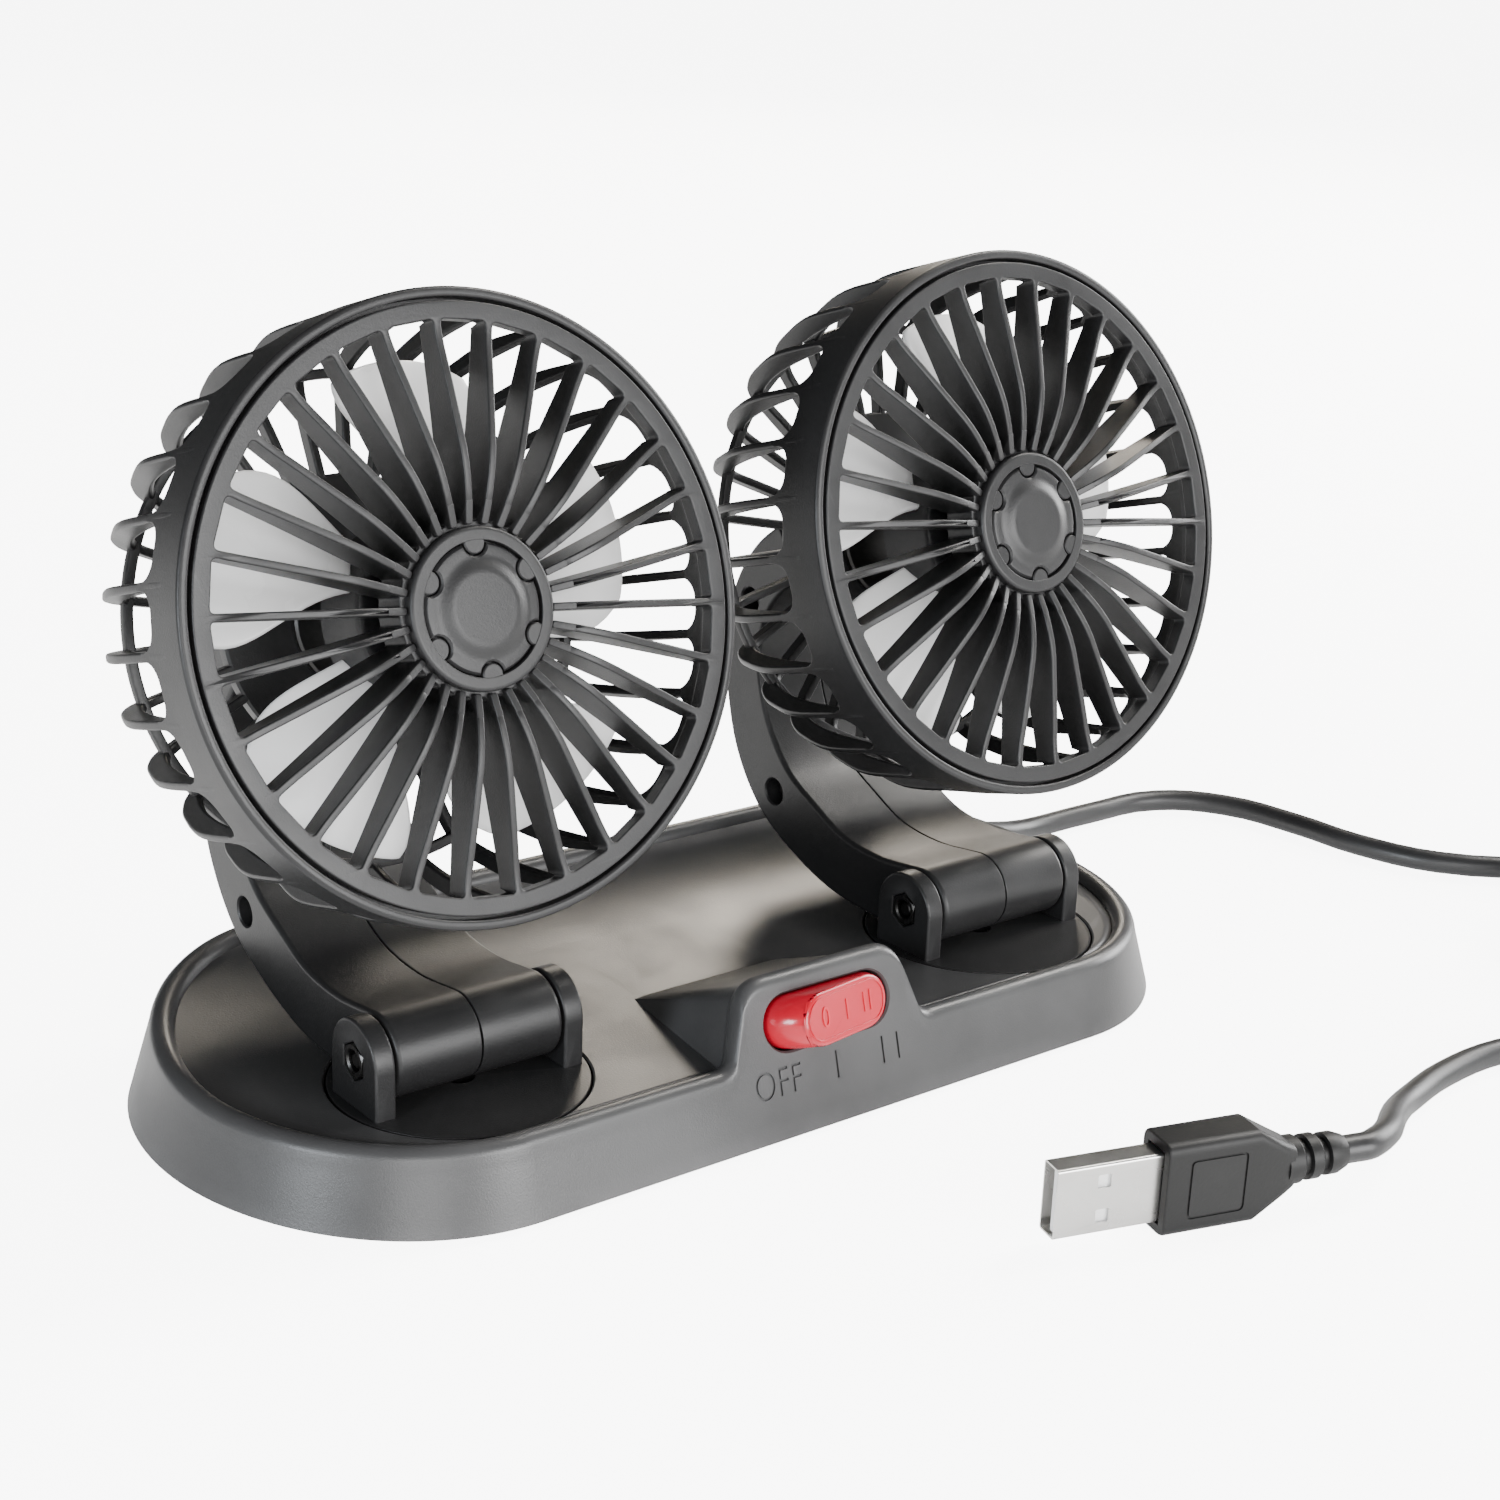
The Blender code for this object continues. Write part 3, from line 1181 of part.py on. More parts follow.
def build_cord(parts, looks):
    add(parts, "cord_grommet", cord_grommet(), looks["rubber"], local=exit_frame())
    out_points, coil, in_points = cord_out_points(), coil_points(), cord_in_points()
    add(parts, "cord_from_base", tube(out_points, CORD_RADIUS, 2), looks["rubber"])
    add(parts, "cord_coil", tube(coil, CORD_RADIUS, 1), looks["rubber"])
    add(parts, "cord_to_plug", tube(in_points, CORD_RADIUS, 2), looks["rubber"])
    add(parts, "coil_tie", coil_tie(), looks["dark"])
    add(parts, "plug_overmold", plug_overmold(), looks["rubber"])
    add(parts, "plug_shell", plug_shell(), looks["steel"])
    add(parts, "plug_tongue", plug_tongue(), looks["white"])
    lengths = [sum((Vector(b) - Vector(a)).length for a, b in zip(p, p[1:])) for p in (out_points, coil, in_points)]
    print("cord lengths", [round(n, 4) for n in lengths], "total", round(sum(lengths), 4))
    print("coil self gap", round(least_gap(coil, CORD_DIAMETER, COIL_LOOP_POINTS // 3), 5))


def build_sides(parts, looks):
    """Both heads are alike, so each mesh is made once and shared."""
    shapes = {
        "turntable": (turntable(), looks["grey"]),
        "turntable_clip": (turntable_clip(), looks["steel"]),
    }
    hinge = {"hinge_bolt": (hinge_bolt(), looks["steel"]), "hinge_nut": (hinge_nut(), looks["steel"])}
    arm = {"arm_left_shell": (arm_half(-1), looks["grey"]), "arm_right_shell": (arm_half(1), looks["grey"])}
    screw = arm_screw()
    head = {
        "rear_cage": (rear_cage(), looks["grey"]),
        "front_grille": (front_grille(), looks["grey"]),
        "grille_cap": (grille_cap(), looks["grey"]),
        "motor_can": (motor_can(), looks["steel"]),
        "motor_shaft": (motor_shaft(), looks["steel"]),
        "fan": (fan(), looks["white"]),
        "fan_hub": (fan_hub(), looks["dark"]),
    }
    for side, sign in (("left", -1), ("right", 1)):
        swivel = empty(f"{side}_swivel", parts, location=(sign * HEAD_SPACING / 2, TURN_Y, DISH_Z))
        tilt = empty(f"{side}_tilt", parts, swivel, (0, 0, HINGE_HEIGHT))
        face = empty(f"{side}_head", parts, tilt, (0, -HEAD_FORWARD, HEAD_RISE), Matrix.Rotation(FACE_TURN, 4, "X"))
        at_hinge = Matrix.Translation((0, 0, HINGE_HEIGHT))
        groups = ((shapes, swivel, None), (hinge, swivel, at_hinge), (arm, tilt, None), (head, face, None))
        for group, parent, local in groups:
            for name, (mesh, look) in group.items():
                add(parts, f"{side}_{name}", mesh, look, parent, local)
        for number, (y, z) in enumerate(arm_screw_places(), 1):
            start = -BARREL_HALF + ARM_SCREW_DEPTH - FIT_GAP - ARM_SCREW_HEAD_THICK
            add(parts, f"{side}_arm_screw_{number}", screw, looks["steel"], tilt, Matrix.Translation((start, y, z)))


def main():
    clear_scene()
    collection("cutters")
    parts = collection("dual_head_fan")
    looks = {
        "grey": material("grey_abs", ABS_GREY),
        "dark": material("dark_abs", ABS_DARK),
        "steel": material("steel", STEEL),
        "white": material("white_plastic", WHITE),
        "red": material("red_plastic", RED),
        "rubber": material("black_rubber", RUBBER),
        "board": material("board", GREEN),
    }
    build_base(parts, looks)
    build_sides(parts, looks)
    build_cord(parts, looks)


main()
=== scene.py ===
import math

import bmesh
import bpy
from mathutils import Matrix, Vector


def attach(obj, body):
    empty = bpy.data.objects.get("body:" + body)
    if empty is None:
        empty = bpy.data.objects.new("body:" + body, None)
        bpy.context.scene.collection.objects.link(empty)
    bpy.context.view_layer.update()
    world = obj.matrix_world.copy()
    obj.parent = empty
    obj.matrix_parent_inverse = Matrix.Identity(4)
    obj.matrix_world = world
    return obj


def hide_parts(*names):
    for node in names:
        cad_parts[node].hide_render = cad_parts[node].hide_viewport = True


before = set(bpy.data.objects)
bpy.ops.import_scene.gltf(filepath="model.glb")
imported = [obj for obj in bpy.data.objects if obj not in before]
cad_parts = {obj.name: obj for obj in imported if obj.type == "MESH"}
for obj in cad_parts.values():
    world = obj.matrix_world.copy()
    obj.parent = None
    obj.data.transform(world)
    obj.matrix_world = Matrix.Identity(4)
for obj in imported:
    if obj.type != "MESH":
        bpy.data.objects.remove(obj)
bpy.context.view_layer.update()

bl_info = {
    "name": "Two-headed desk fan",
    "version": (1, 0, 0),
    "blender": (4, 5, 0),
    "location": "3D View > Sidebar > Desk fan",
    "description": "Builds the visible pieces of a two-headed desk and car fan",
    "category": "Add Mesh",
}

# Small sizes: doubles, clearance, chamfer, lead-in, and a cutter's reach past a face, wall or piece
MERGE, GAP, CHAMFER, LEAD = 1e-6, 0.0003, 0.0004, 0.0003
PAST, THROUGH, FAR = 0.001, 0.006, 0.02
SIDES = (("left", -1), ("right", 1))
AXIS = {"X": Vector((1, 0, 0)), "Y": Vector((0, 1, 0)), "Z": Vector((0, 0, 1))}
QUARTER = math.pi / 2
ALONG_X = Matrix.Rotation(QUARTER, 4, "Y")
FACING_FRONT = Matrix.Rotation(QUARTER, 4, "X")

# Camera, solved from the photograph's perspective
CAMERA_PLACE, CAMERA_LENS = (-0.25007, -0.32929, 0.19299), 58.89
CAMERA_YAW, CAMERA_PITCH, CAMERA_ROLL = 0.679, 0.3251, 0.0422

# Stage: the softboxes are (name, place, size, power, colour)
FLOOR_GLOW, TABLE_GLOW, ROOM_LIGHT, BACKDROP_LIGHT = 7.5, 0.9, 0.05, 8.0
FLOOR_SIZE, FLOOR_HEIGHT, FLOOR_COLOUR, FLOOR_ROUGH = 24.0, -0.0004, (0.92, 0.92, 0.92, 1.0), 0.9
LIGHTS_AIM = Vector((0, 0, 0.05))
SOFTBOXES = (
    ("front key", (0.55, -2.20, 0.52), 1.2, 70.0, (1.0, 1.0, 1.0)),
    ("left front fill", (-1.20, -1.95, 0.48), 1.2, 37.0, (1.0, 1.0, 1.0)),
    ("left strip", (-2.00, -0.40, 0.45), 0.5, 26.0, (0.88, 0.94, 1.0)),
    ("right strip", (1.80, -0.20, 0.60), 0.9, 45.0, (1.0, 1.0, 1.0)),
    ("warm back softbox", (1.42, 1.70, 0.98), 0.45, 11.5, (1.0, 0.91, 0.78)),
    ("right top softbox", (1.40, 0.05, 1.60), 0.6, 32.0, (1.0, 0.97, 0.92)),
)

# Finishes: slot, colour, roughness and what differs from the usual mould finish
FINISHES = {
    "satin grey plastic": ("grey_abs", "grey", 0.35, {}),
    "dark grey plastic": ("grey_abs", "dark_grey", 0.38, {"Specular_IOR_Level": 0.38}),
    "dark plastic": ("dark_abs", "black", 0.46, {"wear": 0.15}),
    "white blade plastic": ("white_plastic", "white", 0.30, {
        "depth": 0.00001, "wear": 0.02, "mottle": 0.03, "Subsurface_Weight": 0.30,
        "Subsurface_Scale": 0.003, "Subsurface_Radius": (1.0, 1.0, 1.0)}),
    "glossy red plastic": ("red_plastic", "red", 0.22, {
        "depth": 0.000006, "wear": 0.10, "mottle": 0.05, "Coat_Weight": 0.12,
        "Coat_Roughness": 0.08}),
    "cord rubber": ("black_rubber", "rubber", 0.42, {"grain": 1500.0, "wear": 0.10}),
    "plug rubber": ("black_rubber", "plug", 0.50, {"grain": 1500.0, "Specular_IOR_Level": 0.35}),
    "plated metal": ("steel", "metal", 0.28, {
        "grain": 900.0, "depth": 0.00001, "wear": 0.05, "mottle": 0.06, "Metallic": 1.0}),
    "blackened metal": ("steel", "black_metal", 0.36, {
        "grain": 900.0, "depth": 0.00001, "wear": 0.30, "Metallic": 1.0}),
    "board green": ("", "board", 0.45, {"grain": 600.0}),
}
PLAIN_PARTS = {
    "base_plate": "dark plastic", "circuit_board": "board green", "switch_body": "dark plastic",
    "antislip_pad": "cord rubber",
    "left_turntable_clip": "plated metal", "left_motor_shaft": "plated metal",
    "right_turntable_clip": "plated metal", "right_motor_shaft": "plated metal",
}
# Pointiness marks: above PROUD the edges take the wear colour; below HOLLOW the hollows take painted
# shade, the colour cut to HOLLOW_SHADE
PROUD, HOLLOW, REACH = 0.54, 0.46, 0.08
ROUGH_SPREAD, RUB_GAIN, RUB_LIFT, HOLLOW_SHADE = 0.05, 3, 0.04, 0.55

# Base
BASE_HALF_LENGTH, BASE_HALF_DEPTH, BASE_END, BASE_LIFT = 0.1020, 0.0488, 0.0415, 0.0006
WALL, WALL_LEAN = 0.0022, math.radians(16.0)
WALL_RINGS, LIP_ARC = (0.0030, 0.0066, 0.0128), (WALL_LEAN * 0.8, math.pi * 0.93)
FRONT_STEPS, END_STEPS, BACK_STEPS, LIP_STEPS, DISH_STEPS = 6, 72, 16, 8, 16
RIM_FRONT_Z, RIM_BACK_RISE, RIM_START_Y = 0.0140, 0.0058, -0.0100
DISH_Z, SWEEP_FRONT, SWEEP_BACK = 0.0127, 0.0012, 0.0240
RIM_POWER, SWEEP_POWER, DISH_POWER = 1.5, 1.6, 2.0
HUMP_TOP_Z, HUMP_FOOT, HUMP_TOP_HALF = 0.0270, 0.0208, 0.0165
HUMP_CORNER, HUMP_FILLET, HUMP_LENGTH, HUMP_SIDE = 0.0042, 0.0036, 0.0275, 0.0060
PANEL_Z, SLOT_HALF = 0.0192, (0.0136, 0.0049)
SLOT_LAYERS = ((0, -THROUGH), (0, -0.0004), (0.0005, 0.0002), (0.0005, THROUGH))
MARKS_Z, MARKS_NARROW = 0.0098, 0.80
MARKS = (("OFF", -0.0122, 1.05), ("I", 0.0005, 1.0), ("II", 0.0125, 1.7))
BASE_SCREW, BASE_SCREW_Z = (0.0029, 0.0010, 0.0015, 0.0087), 0.0010
BASE_SCREW_PLACES = ((-0.086, 0.014), (0.086, 0.014), (-0.030, 0.035), (0.030, 0.035))
THREAD_PITCH, THREAD_ROOT = 0.0008, 0.82

# Turntables, hinges and arms
TURN = (0.05785, -0.0192)
TURN_RADIUS, TURN_THICK = 0.0216, 0.0026
HUB_RADIUS, HUB_END, HUB_BORE = 0.0062, -0.0079, 0.0026
GROOVE_DEPTH, GROOVE_SPAN = 0.0010, (HUB_END + 0.0010, HUB_END + 0.0027)
CUP_FLOOR_Z, POCKET_TOP_Z = DISH_Z - TURN_THICK - 0.0005, 0.018
HINGE_HEIGHT, EAR_RADIUS, EAR_THICK, EAR_HALF = 0.0079, 0.0071, 0.0037, 0.0196
BOLT_RADIUS, BOLT_HEAD, BOLT_HEAD_THICK, BOLT_SHORT = 0.0015, 0.0028, 0.0018, 0.0005
SOCKET_CORNER, SOCKET_DEPTH = 0.0014, 0.0011
NUT_FLATS, NUT_THICK = 0.0055, 0.0022
BARREL_RADIUS, BARREL_HALF = 0.0072, 0.0155
ARM_DEPTH, ARM_HEIGHT = 0.0563, 0.0575
ARM_PATH_SHARES = (
    (0.00, 0.000, 1.00), (0.22, -0.010, 0.87), (0.43, 0.006, 0.88), (0.61, 0.068, 0.94),
    (0.785, 0.158, 0.95), (0.91, 0.300, 0.90), (0.98, 0.475, 0.80), (1.00, 0.640, 0.76),
    (0.965, 0.800, 0.77), (0.88, 0.925, 0.80),
)
ARM_SCREWS = [(y * ARM_DEPTH, z * ARM_HEIGHT)
              for y, z, _ in (ARM_PATH_SHARES[4], ARM_PATH_SHARES[8])]
SCREW_RECESS, SCREW_DEPTH, SCREW_HEAD, SCREW_HEAD_THICK = 0.0026, 0.0050, 0.0022, 0.0016
SCREW_SHANK, SCREW_LENGTH, SCREW_HOLE = 0.0013, 0.0170, 0.0016
BOSS_RADIUS, BOSS_LENGTH, BOSS_EDGE, ARM_END_SHARE = 0.0120, 0.0100, 0.0012, 0.80
HEAD_FORWARD, HEAD_RISE, HEAD_TILT = 0.0053, 0.0724, math.radians(16.0)

# Cage, grille and cap
CAGE_RADIUS, CAGE_WALL, BAND_DEPTH, CAGE_DEPTH = 0.0487, 0.0016, 0.0095, 0.0400
CAGE_BACK, CAGE_DISC, BAND_EDGE, SLOT_TURN = 0.0030, 0.0240, 0.0007, 0.0034
HOOP, LEDGE = (0.0392, -0.0389, 0.0409, -0.0371), (0.0446, 0.0474, 0.0016)
RIB_COUNT = 30
RIM_RADIUS, RIM_WIDTH, RIM_THICK = 0.0468, 0.0030, 0.0028
VANE_DEPTH, VANE_REAR, VANE_BULGE = 0.0070, 0.0048, 0.0027
GRILLE_BLANK, GRILLE_ROUND = 0.006, 0.0003
# The vanes' bow, in shares of its rise and of the way from the hub to the rim
BOW_START, BOW_LOW, BOW_GAIN, BOW_PEAK = 0.04, 0.35, 0.61, 0.32
BOW_END, BOW_FALL, BOW_POWER = 0.89, 0.54, 0.85
VANE_END_REACH, VANE_END_LOW, VANE_END_CLIMB = 0.0030, 0.30, 0.40
HUB_RING, HUB_RISE = 0.0129, 0.0016
CAP_RADIUS, CAP_SEAT, CAP_NOTCHES, CAP_NOTCH = 0.0101, 0.0020, 6, 0.0021
CAP_DOME, CAP_DOME_RADIUS, CAP_DOME_EDGE = 0.0008, 0.0068, 0.0016
HUB_LEDGE, BEAD_OUTSIDE, TOOTH = -0.0003, 0.0126, 0.0006

# Motor and fan
MOTOR_RADIUS, MOTOR_LENGTH, SHAFT_BORE = 0.0120, 0.0160, 0.0013
VENT_AT, VENT_HALF, VENT_DEPTH = 0.0078, (0.0022, 0.0009), 0.0030
FAN_BLADES, FAN_RADIUS, SLEEVE_RADIUS, SLEEVE_WALL, FAN_DEPTH = 5, 0.0395, 0.0150, 0.0014, 0.0120
FAN_FRONT_Z, FAN_CAP, BLADE_THICK = -0.0105, 0.0024, 0.0013
FAN_PITCH, BLADE_SWEEP = math.radians(34.0), math.radians(16.0)
BLADE_ROOT_SPAN, BLADE_TIP_SPAN = math.radians(30.0), math.radians(56.0)
BLADE_TRIM, BLADE_ROUNDING, BLADE_UNTWIST, BLADE_RISE = 0.30, 0.035, 0.35, 1.25

# Rocker
ROCKER_HALF_LENGTH, ROCKER_HALF_HEIGHT = 0.0133, 0.0046
ROCKER_FACE, ROCKER_BACK, ROCKER_DEPTH, ROCKER_THROW = 0.0071, 0.0020, 0.0036, math.radians(14.0)
ROCKER_BORDER = ((0.0106, 0.0037), (0.0103, 0.0034))
ROCKER_MARKS = (("0", -0.0060), ("I", 0.0), ("II", 0.0058))
ROCKER_MARK_HEIGHT, ROCKER_MARK_RISE, ROCKER_MARK_NARROW = 0.0036, 0.00018, 0.85

# Cord and plug
CORD_EXIT_TURN, CORD_EXIT_Z = math.radians(30.0), 0.0074
GROMMET_RADIUS, GROMMET_REACH = 0.0040, 0.0050
CORD_OUT_ROUTE = (
    (0.1230, 0.0343, 0.0025), (0.1440, 0.0342, 0.0024), (0.1640, 0.0320, 0.0024),
    (0.1755, 0.0210, 0.0024), (0.1800, 0.0030, 0.0024), (0.1815, -0.0130, 0.0024),
    (0.1880, -0.0300, 0.0024), (0.2080, -0.0480, 0.0024), (0.2230, -0.0640, 0.0027),
)
CORD_IN_ROUTE = (
    (0.1720, -0.1195, 0.0082), (0.1560, -0.1140, 0.0040), (0.1370, -0.1035, 0.0024),
    (0.1170, -0.0975, 0.0024), (0.1000, -0.0975, 0.0024), (0.0860, -0.1006, 0.0027),
    (0.0790, -0.1034, 0.0039), (0.0720, -0.1073, 0.0056), (0.0650, -0.1115, 0.0072),
    (0.0590, -0.1136, 0.0079),
)
COIL_CENTRE, COIL_RADIUS, COIL_GAP = (0.1950, -0.0880), 0.0320, 0.0006
COIL_TURNS, COIL_POINTS, COIL_LEAVES_AT = 2.5, 24, math.radians(-100.0)
TIE_THICK, TIE_WIDTH, TIE_AT = 0.0009, 0.0100, math.radians(150.0)
PLUG_END, PLUG_TURN = (0.0515, -0.1124), math.radians(163.7)
PLUG_WIDTH, PLUG_THICK, PLUG_LENGTH = 0.0160, 0.0084, 0.0240
PLUG_LAYERS = (
    (0.46, 0.80, -0.0004), (0.50, 0.84, 0.0002), (0.62, 0.92, 0.0020), (1.0, 1.0, 0.0072),
    (1.0, 1.0, 0.0236), (0.985, 0.97, 0.0239), (0.95, 0.92, PLUG_LENGTH),
)
METAL_WIDTH, METAL_THICK, METAL_LENGTH, METAL_WALL = 0.0120, 0.0045, 0.0185, 0.0003
WINDOW_HALF, TONGUE_THICK = 0.0012, 0.0018
RELIEF_LENGTH, RELIEF_RADIUS, RELIEF_GROOVE, RELIEF_TAPER = 0.0110, 0.0040, 0.0010, 0.00025
PLUG_FRAMES = ((0.0052, 0.0095, 0.0200, 0.0010), (0.0048, 0.0099, 0.0196, 0.0007))
WINDOW_AT = 0.55


def length_of(name, about, default, least):
    return bpy.props.FloatProperty(name=name, description=about, default=default, min=least,
                                   unit="LENGTH")


def colour_of(name, about, *default):
    return bpy.props.FloatVectorProperty(name=name, description=about, default=default,
                                         subtype="COLOR")


class FanSizes(bpy.types.PropertyGroup):
    """Sizes of the finish that a user may change"""

    edge_round: length_of("Edge rounding", "Radius of the moulded edges", 0.0005, 0.0001)
    lip_round: length_of("Lip rounding", "Radius of the base's lip", 0.0022, 0.0005)
    seam_round: length_of("Seam rounding", "Radius along the seam of the arms", 0.0002, 0.0001)
    arm_round: length_of("Arm rounding", "Radius of the arms' outer edges", 0.0009, 0.0002)
    fin_thickness: length_of("Fin thickness", "Thickness of a cage fin", 0.0015, 0.0008)
    vane_thickness: length_of("Vane thickness", "Thickness of a grille vane", 0.0012, 0.0006)
    letter_height: length_of("Letter height", "Height of the marks under the switch", 0.0050, 0.001)
    letter_depth: length_of("Letter depth", "Depth of the marks", 0.0003, 0.0001)
    cord_diameter: length_of("Cord diameter", "Diameter of the cord", 0.0048, 0.002)


class FanColours(bpy.types.PropertyGroup):
    """Colours of the finishes"""

    grey: colour_of("Grey plastic", "Base", 0.052, 0.052, 0.053)
    dark_grey: colour_of("Dark grey plastic", "Heads, arms and turntables", 0.0145, 0.0145, 0.015)
    black: colour_of("Dark plastic", "Fan hubs, plate and inner parts", 0.010, 0.010, 0.011)
    white: colour_of("White plastic", "Fan blades", 0.92, 0.92, 0.915)
    red: colour_of("Red plastic", "Rocker of the switch", 0.48, 0.007, 0.023)
    rubber: colour_of("Cord", "Cord and its relief", 0.021, 0.021, 0.022)
    plug: colour_of("Plug", "Moulded body of the plug", 0.006, 0.006, 0.006)
    metal: colour_of("Plated metal", "Clips, shafts and plug sleeve", 0.66, 0.65, 0.63)
    black_metal: colour_of("Blackened metal", "Screws, bolts, nuts and motors", 0.055, 0.054, 0.053)
    board: colour_of("Board green", "Circuit board", 0.02, 0.16, 0.05)


def sizes():
    return bpy.context.scene.desk_fan_sizes


# Modelling by hand


def leave_all():
    """Back to object mode with nothing selected."""
    if bpy.context.object and bpy.context.object.mode != "OBJECT":
        bpy.ops.object.mode_set(mode="OBJECT")
    bpy.ops.object.select_all(action="DESELECT")


def take(*pieces):
    """Select only these pieces, with the first one active."""
    leave_all()
    for piece in pieces:
        piece.select_set(True)
    bpy.context.view_layer.objects.active = pieces[0]


def edit(piece, mode="VERT", action="DESELECT"):
    """Edit a piece's mesh, with none of it selected unless asked."""
    take(piece)
    bpy.ops.object.mode_set(mode="EDIT")
    bpy.ops.mesh.select_mode(type=mode)
    bpy.ops.mesh.select_all(action=action)
    return bmesh.from_edit_mesh(piece.data)


def linked(name, data):
    """A new object in the scene for a mesh or a curve."""
    piece = bpy.data.objects.new(name, data)
    bpy.context.scene.collection.objects.link(piece)
    return piece


def discard(*pieces):
    for piece in pieces:
        bpy.data.objects.remove(piece, do_unlink=True)


def draw(points):
    """A line of points, each extruded from the one before."""
    leave_all()
    bpy.ops.mesh.primitive_plane_add(size=GAP, location=points[0])
    piece = bpy.context.object
    bpy.ops.object.transform_apply(location=True)
    edit(piece, action="SELECT")
    bpy.ops.mesh.merge(type="CENTER")
    for before, after in zip(points, points[1:]):
        step = Vector(after) - Vector(before)
        bpy.ops.mesh.extrude_vertices_move(TRANSFORM_OT_translate={"value": step})
    return piece


def tidy(piece):
    """Merge doubles and turn the faces outward."""
    edit(piece, action="SELECT")
    bpy.ops.mesh.remove_doubles(threshold=MERGE)
    bpy.ops.mesh.normals_make_consistent(inside=False)
    bpy.ops.object.mode_set(mode="OBJECT")
    return piece


def lathe(profile, steps):
    """Spin a profile of (radius, height) about Z."""
    piece = draw([(radius, 0, height) for radius, height in profile])
    bpy.ops.mesh.select_all(action="SELECT")
    bpy.ops.mesh.spin(steps=steps, angle=math.tau, center=(0, 0, 0), axis=(0, 0, 1))
    return tidy(piece)


def rod(radius, low, high, steps=32):
    return lathe([(0, low), (radius, low), (radius, high), (0, high)], steps)


def prism(outline, low, high, axis="Z"):
    """Extrude a closed outline; its pairs are (x, y) for Z, (y, z) for X and (x, z) for Y."""
    points = [{"Z": (a, b, low), "X": (low, a, b), "Y": (a, low, b)}[axis] for a, b in outline]
    piece = draw([*points, points[0]])
    bpy.ops.mesh.select_all(action="SELECT")
    bpy.ops.mesh.remove_doubles(threshold=MERGE)
    bpy.ops.mesh.edge_face_add()
    bpy.ops.mesh.select_all(action="SELECT")
    bpy.ops.mesh.extrude_region_move(TRANSFORM_OT_translate={"value": AXIS[axis] * (high - low)})
    return tidy(piece)


def lofted(rings):
    """Skin rings of points into a closed body."""
    bm = bmesh.new()
    rows = [[bm.verts.new(point) for point in ring] for ring in rings]
    count = len(rows[0])
    for low, high in zip(rows, rows[1:]):
        for k in range(count):
            bm.faces.new((low[k], low[(k + 1) % count], high[(k + 1) % count], high[k]))
    bm.faces.new(list(reversed(rows[0])))
    bm.faces.new(rows[-1])
    mesh = bpy.data.meshes.new("loft")
    bm.to_mesh(mesh)
    bm.free()
    return tidy(linked("loft", mesh))


def stacked(layers):
    """Skin flat outlines, each at its height."""
    return lofted([[(x, y, height) for x, y in outline] for outline, height in layers])


def moulding(outlines, depth, rounding, steps=2):
    """A flat curve of outlines, holes among them, given depth and rounded edges and made a mesh."""
    leave_all()
    curve = bpy.data.curves.new("moulding", "CURVE")
    curve.dimensions, curve.fill_mode = "2D", "BOTH"
    curve.extrude, curve.offset = depth / 2 - rounding, -rounding
    curve.bevel_depth, curve.bevel_resolution = rounding, steps
    for outline in outlines:
        spline = curve.splines.new("POLY")
        spline.points.add(len(outline) - 1)
        for point, (a, b) in zip(spline.points, outline):
            point.co = (a, b, 0, 1)
        spline.use_cyclic_u = True
    take(linked("moulding", curve))
    bpy.ops.object.convert(target="MESH")
    return tidy(bpy.context.object)


def mark(text, height, place, depth, weight=-0.00008, spread=1.0):
    """A generic switch mark as a solid that crosses the surface, for cutting or raising."""
    leave_all()
    bpy.ops.object.text_add(location=(0, 0, 0))
    letters = bpy.context.object.data
    letters.body, letters.size, letters.extrude = text, height / 0.7, depth
    letters.offset, letters.resolution_u, letters.space_character = weight, 6, spread
    letters.align_x = letters.align_y = "CENTER"
    bpy.ops.object.convert(target="MESH")
    return settle(tidy(bpy.context.object), place)


def at(x=0.0, y=0.0, z=0.0):
    return Matrix.Translation((x, y, z))


def settle(piece, matrix):
    """Move a piece to its place and keep the place in its mesh."""
    take(piece)
    piece.matrix_world = matrix @ piece.matrix_world
    bpy.ops.object.transform_apply(location=True, rotation=True, scale=True)
    return piece


def twin(piece, matrix):
    """A copy of a piece with its own mesh, in its place."""
    take(piece)
    bpy.ops.object.duplicate()
    return settle(bpy.context.object, matrix)


def join(*pieces):
    take(*pieces)
    bpy.ops.object.join()
    return bpy.context.object


def ring_of(piece, count, start=0.0):
    """Copies of a piece evenly round Z, joined into one."""
    turns = [start + math.tau * k / count for k in range(count)]
    copies = [twin(piece, Matrix.Rotation(turn, 4, "Z")) for turn in turns]
    discard(piece)
    return join(*copies)


def modify(piece, kind, **settings):
    """Add a modifier, set it and apply it."""
    take(piece)
    bpy.ops.object.modifier_add(type=kind)
    change = piece.modifiers[-1]
    for key, value in settings.items():
        setattr(change, key, value)
    bpy.ops.object.modifier_apply(modifier=change.name)
    return piece


def carve(piece, *cutters, operation="DIFFERENCE"):
    for cutter in cutters:
        modify(piece, "BOOLEAN", object=cutter, operation=operation, solver="EXACT")
        discard(cutter)
    return piece


def soften(piece, width, segments=3, angle=30.0):
    """Round the edges sharper than an angle."""
    return modify(piece, "BEVEL", width=width, segments=segments, limit_method="ANGLE",
                  angle_limit=math.radians(angle), miter_outer="MITER_ARC", use_clamp_overlap=True)


def bevel_edges(piece, test, width, segments):
    """Round the edges that pass a test."""
    mesh = edit(piece, "EDGE")
    for edge in mesh.edges:
        edge.select_set(test(edge))
    bmesh.update_edit_mesh(piece.data)
    bpy.ops.mesh.bevel(offset=width, segments=segments, affect="EDGES")
    bpy.ops.object.mode_set(mode="OBJECT")
    return piece


# Outlines


def box(x0, y0, x1, y1):
    return [(x0, y0), (x1, y0), (x1, y1), (x0, y1)]


def arc(radius, start, end, steps, centre=(0, 0)):
    turns = [start + (end - start) * k / steps for k in range(steps + 1)]
    return [(centre[0] + radius * math.cos(a), centre[1] + radius * math.sin(a)) for a in turns]


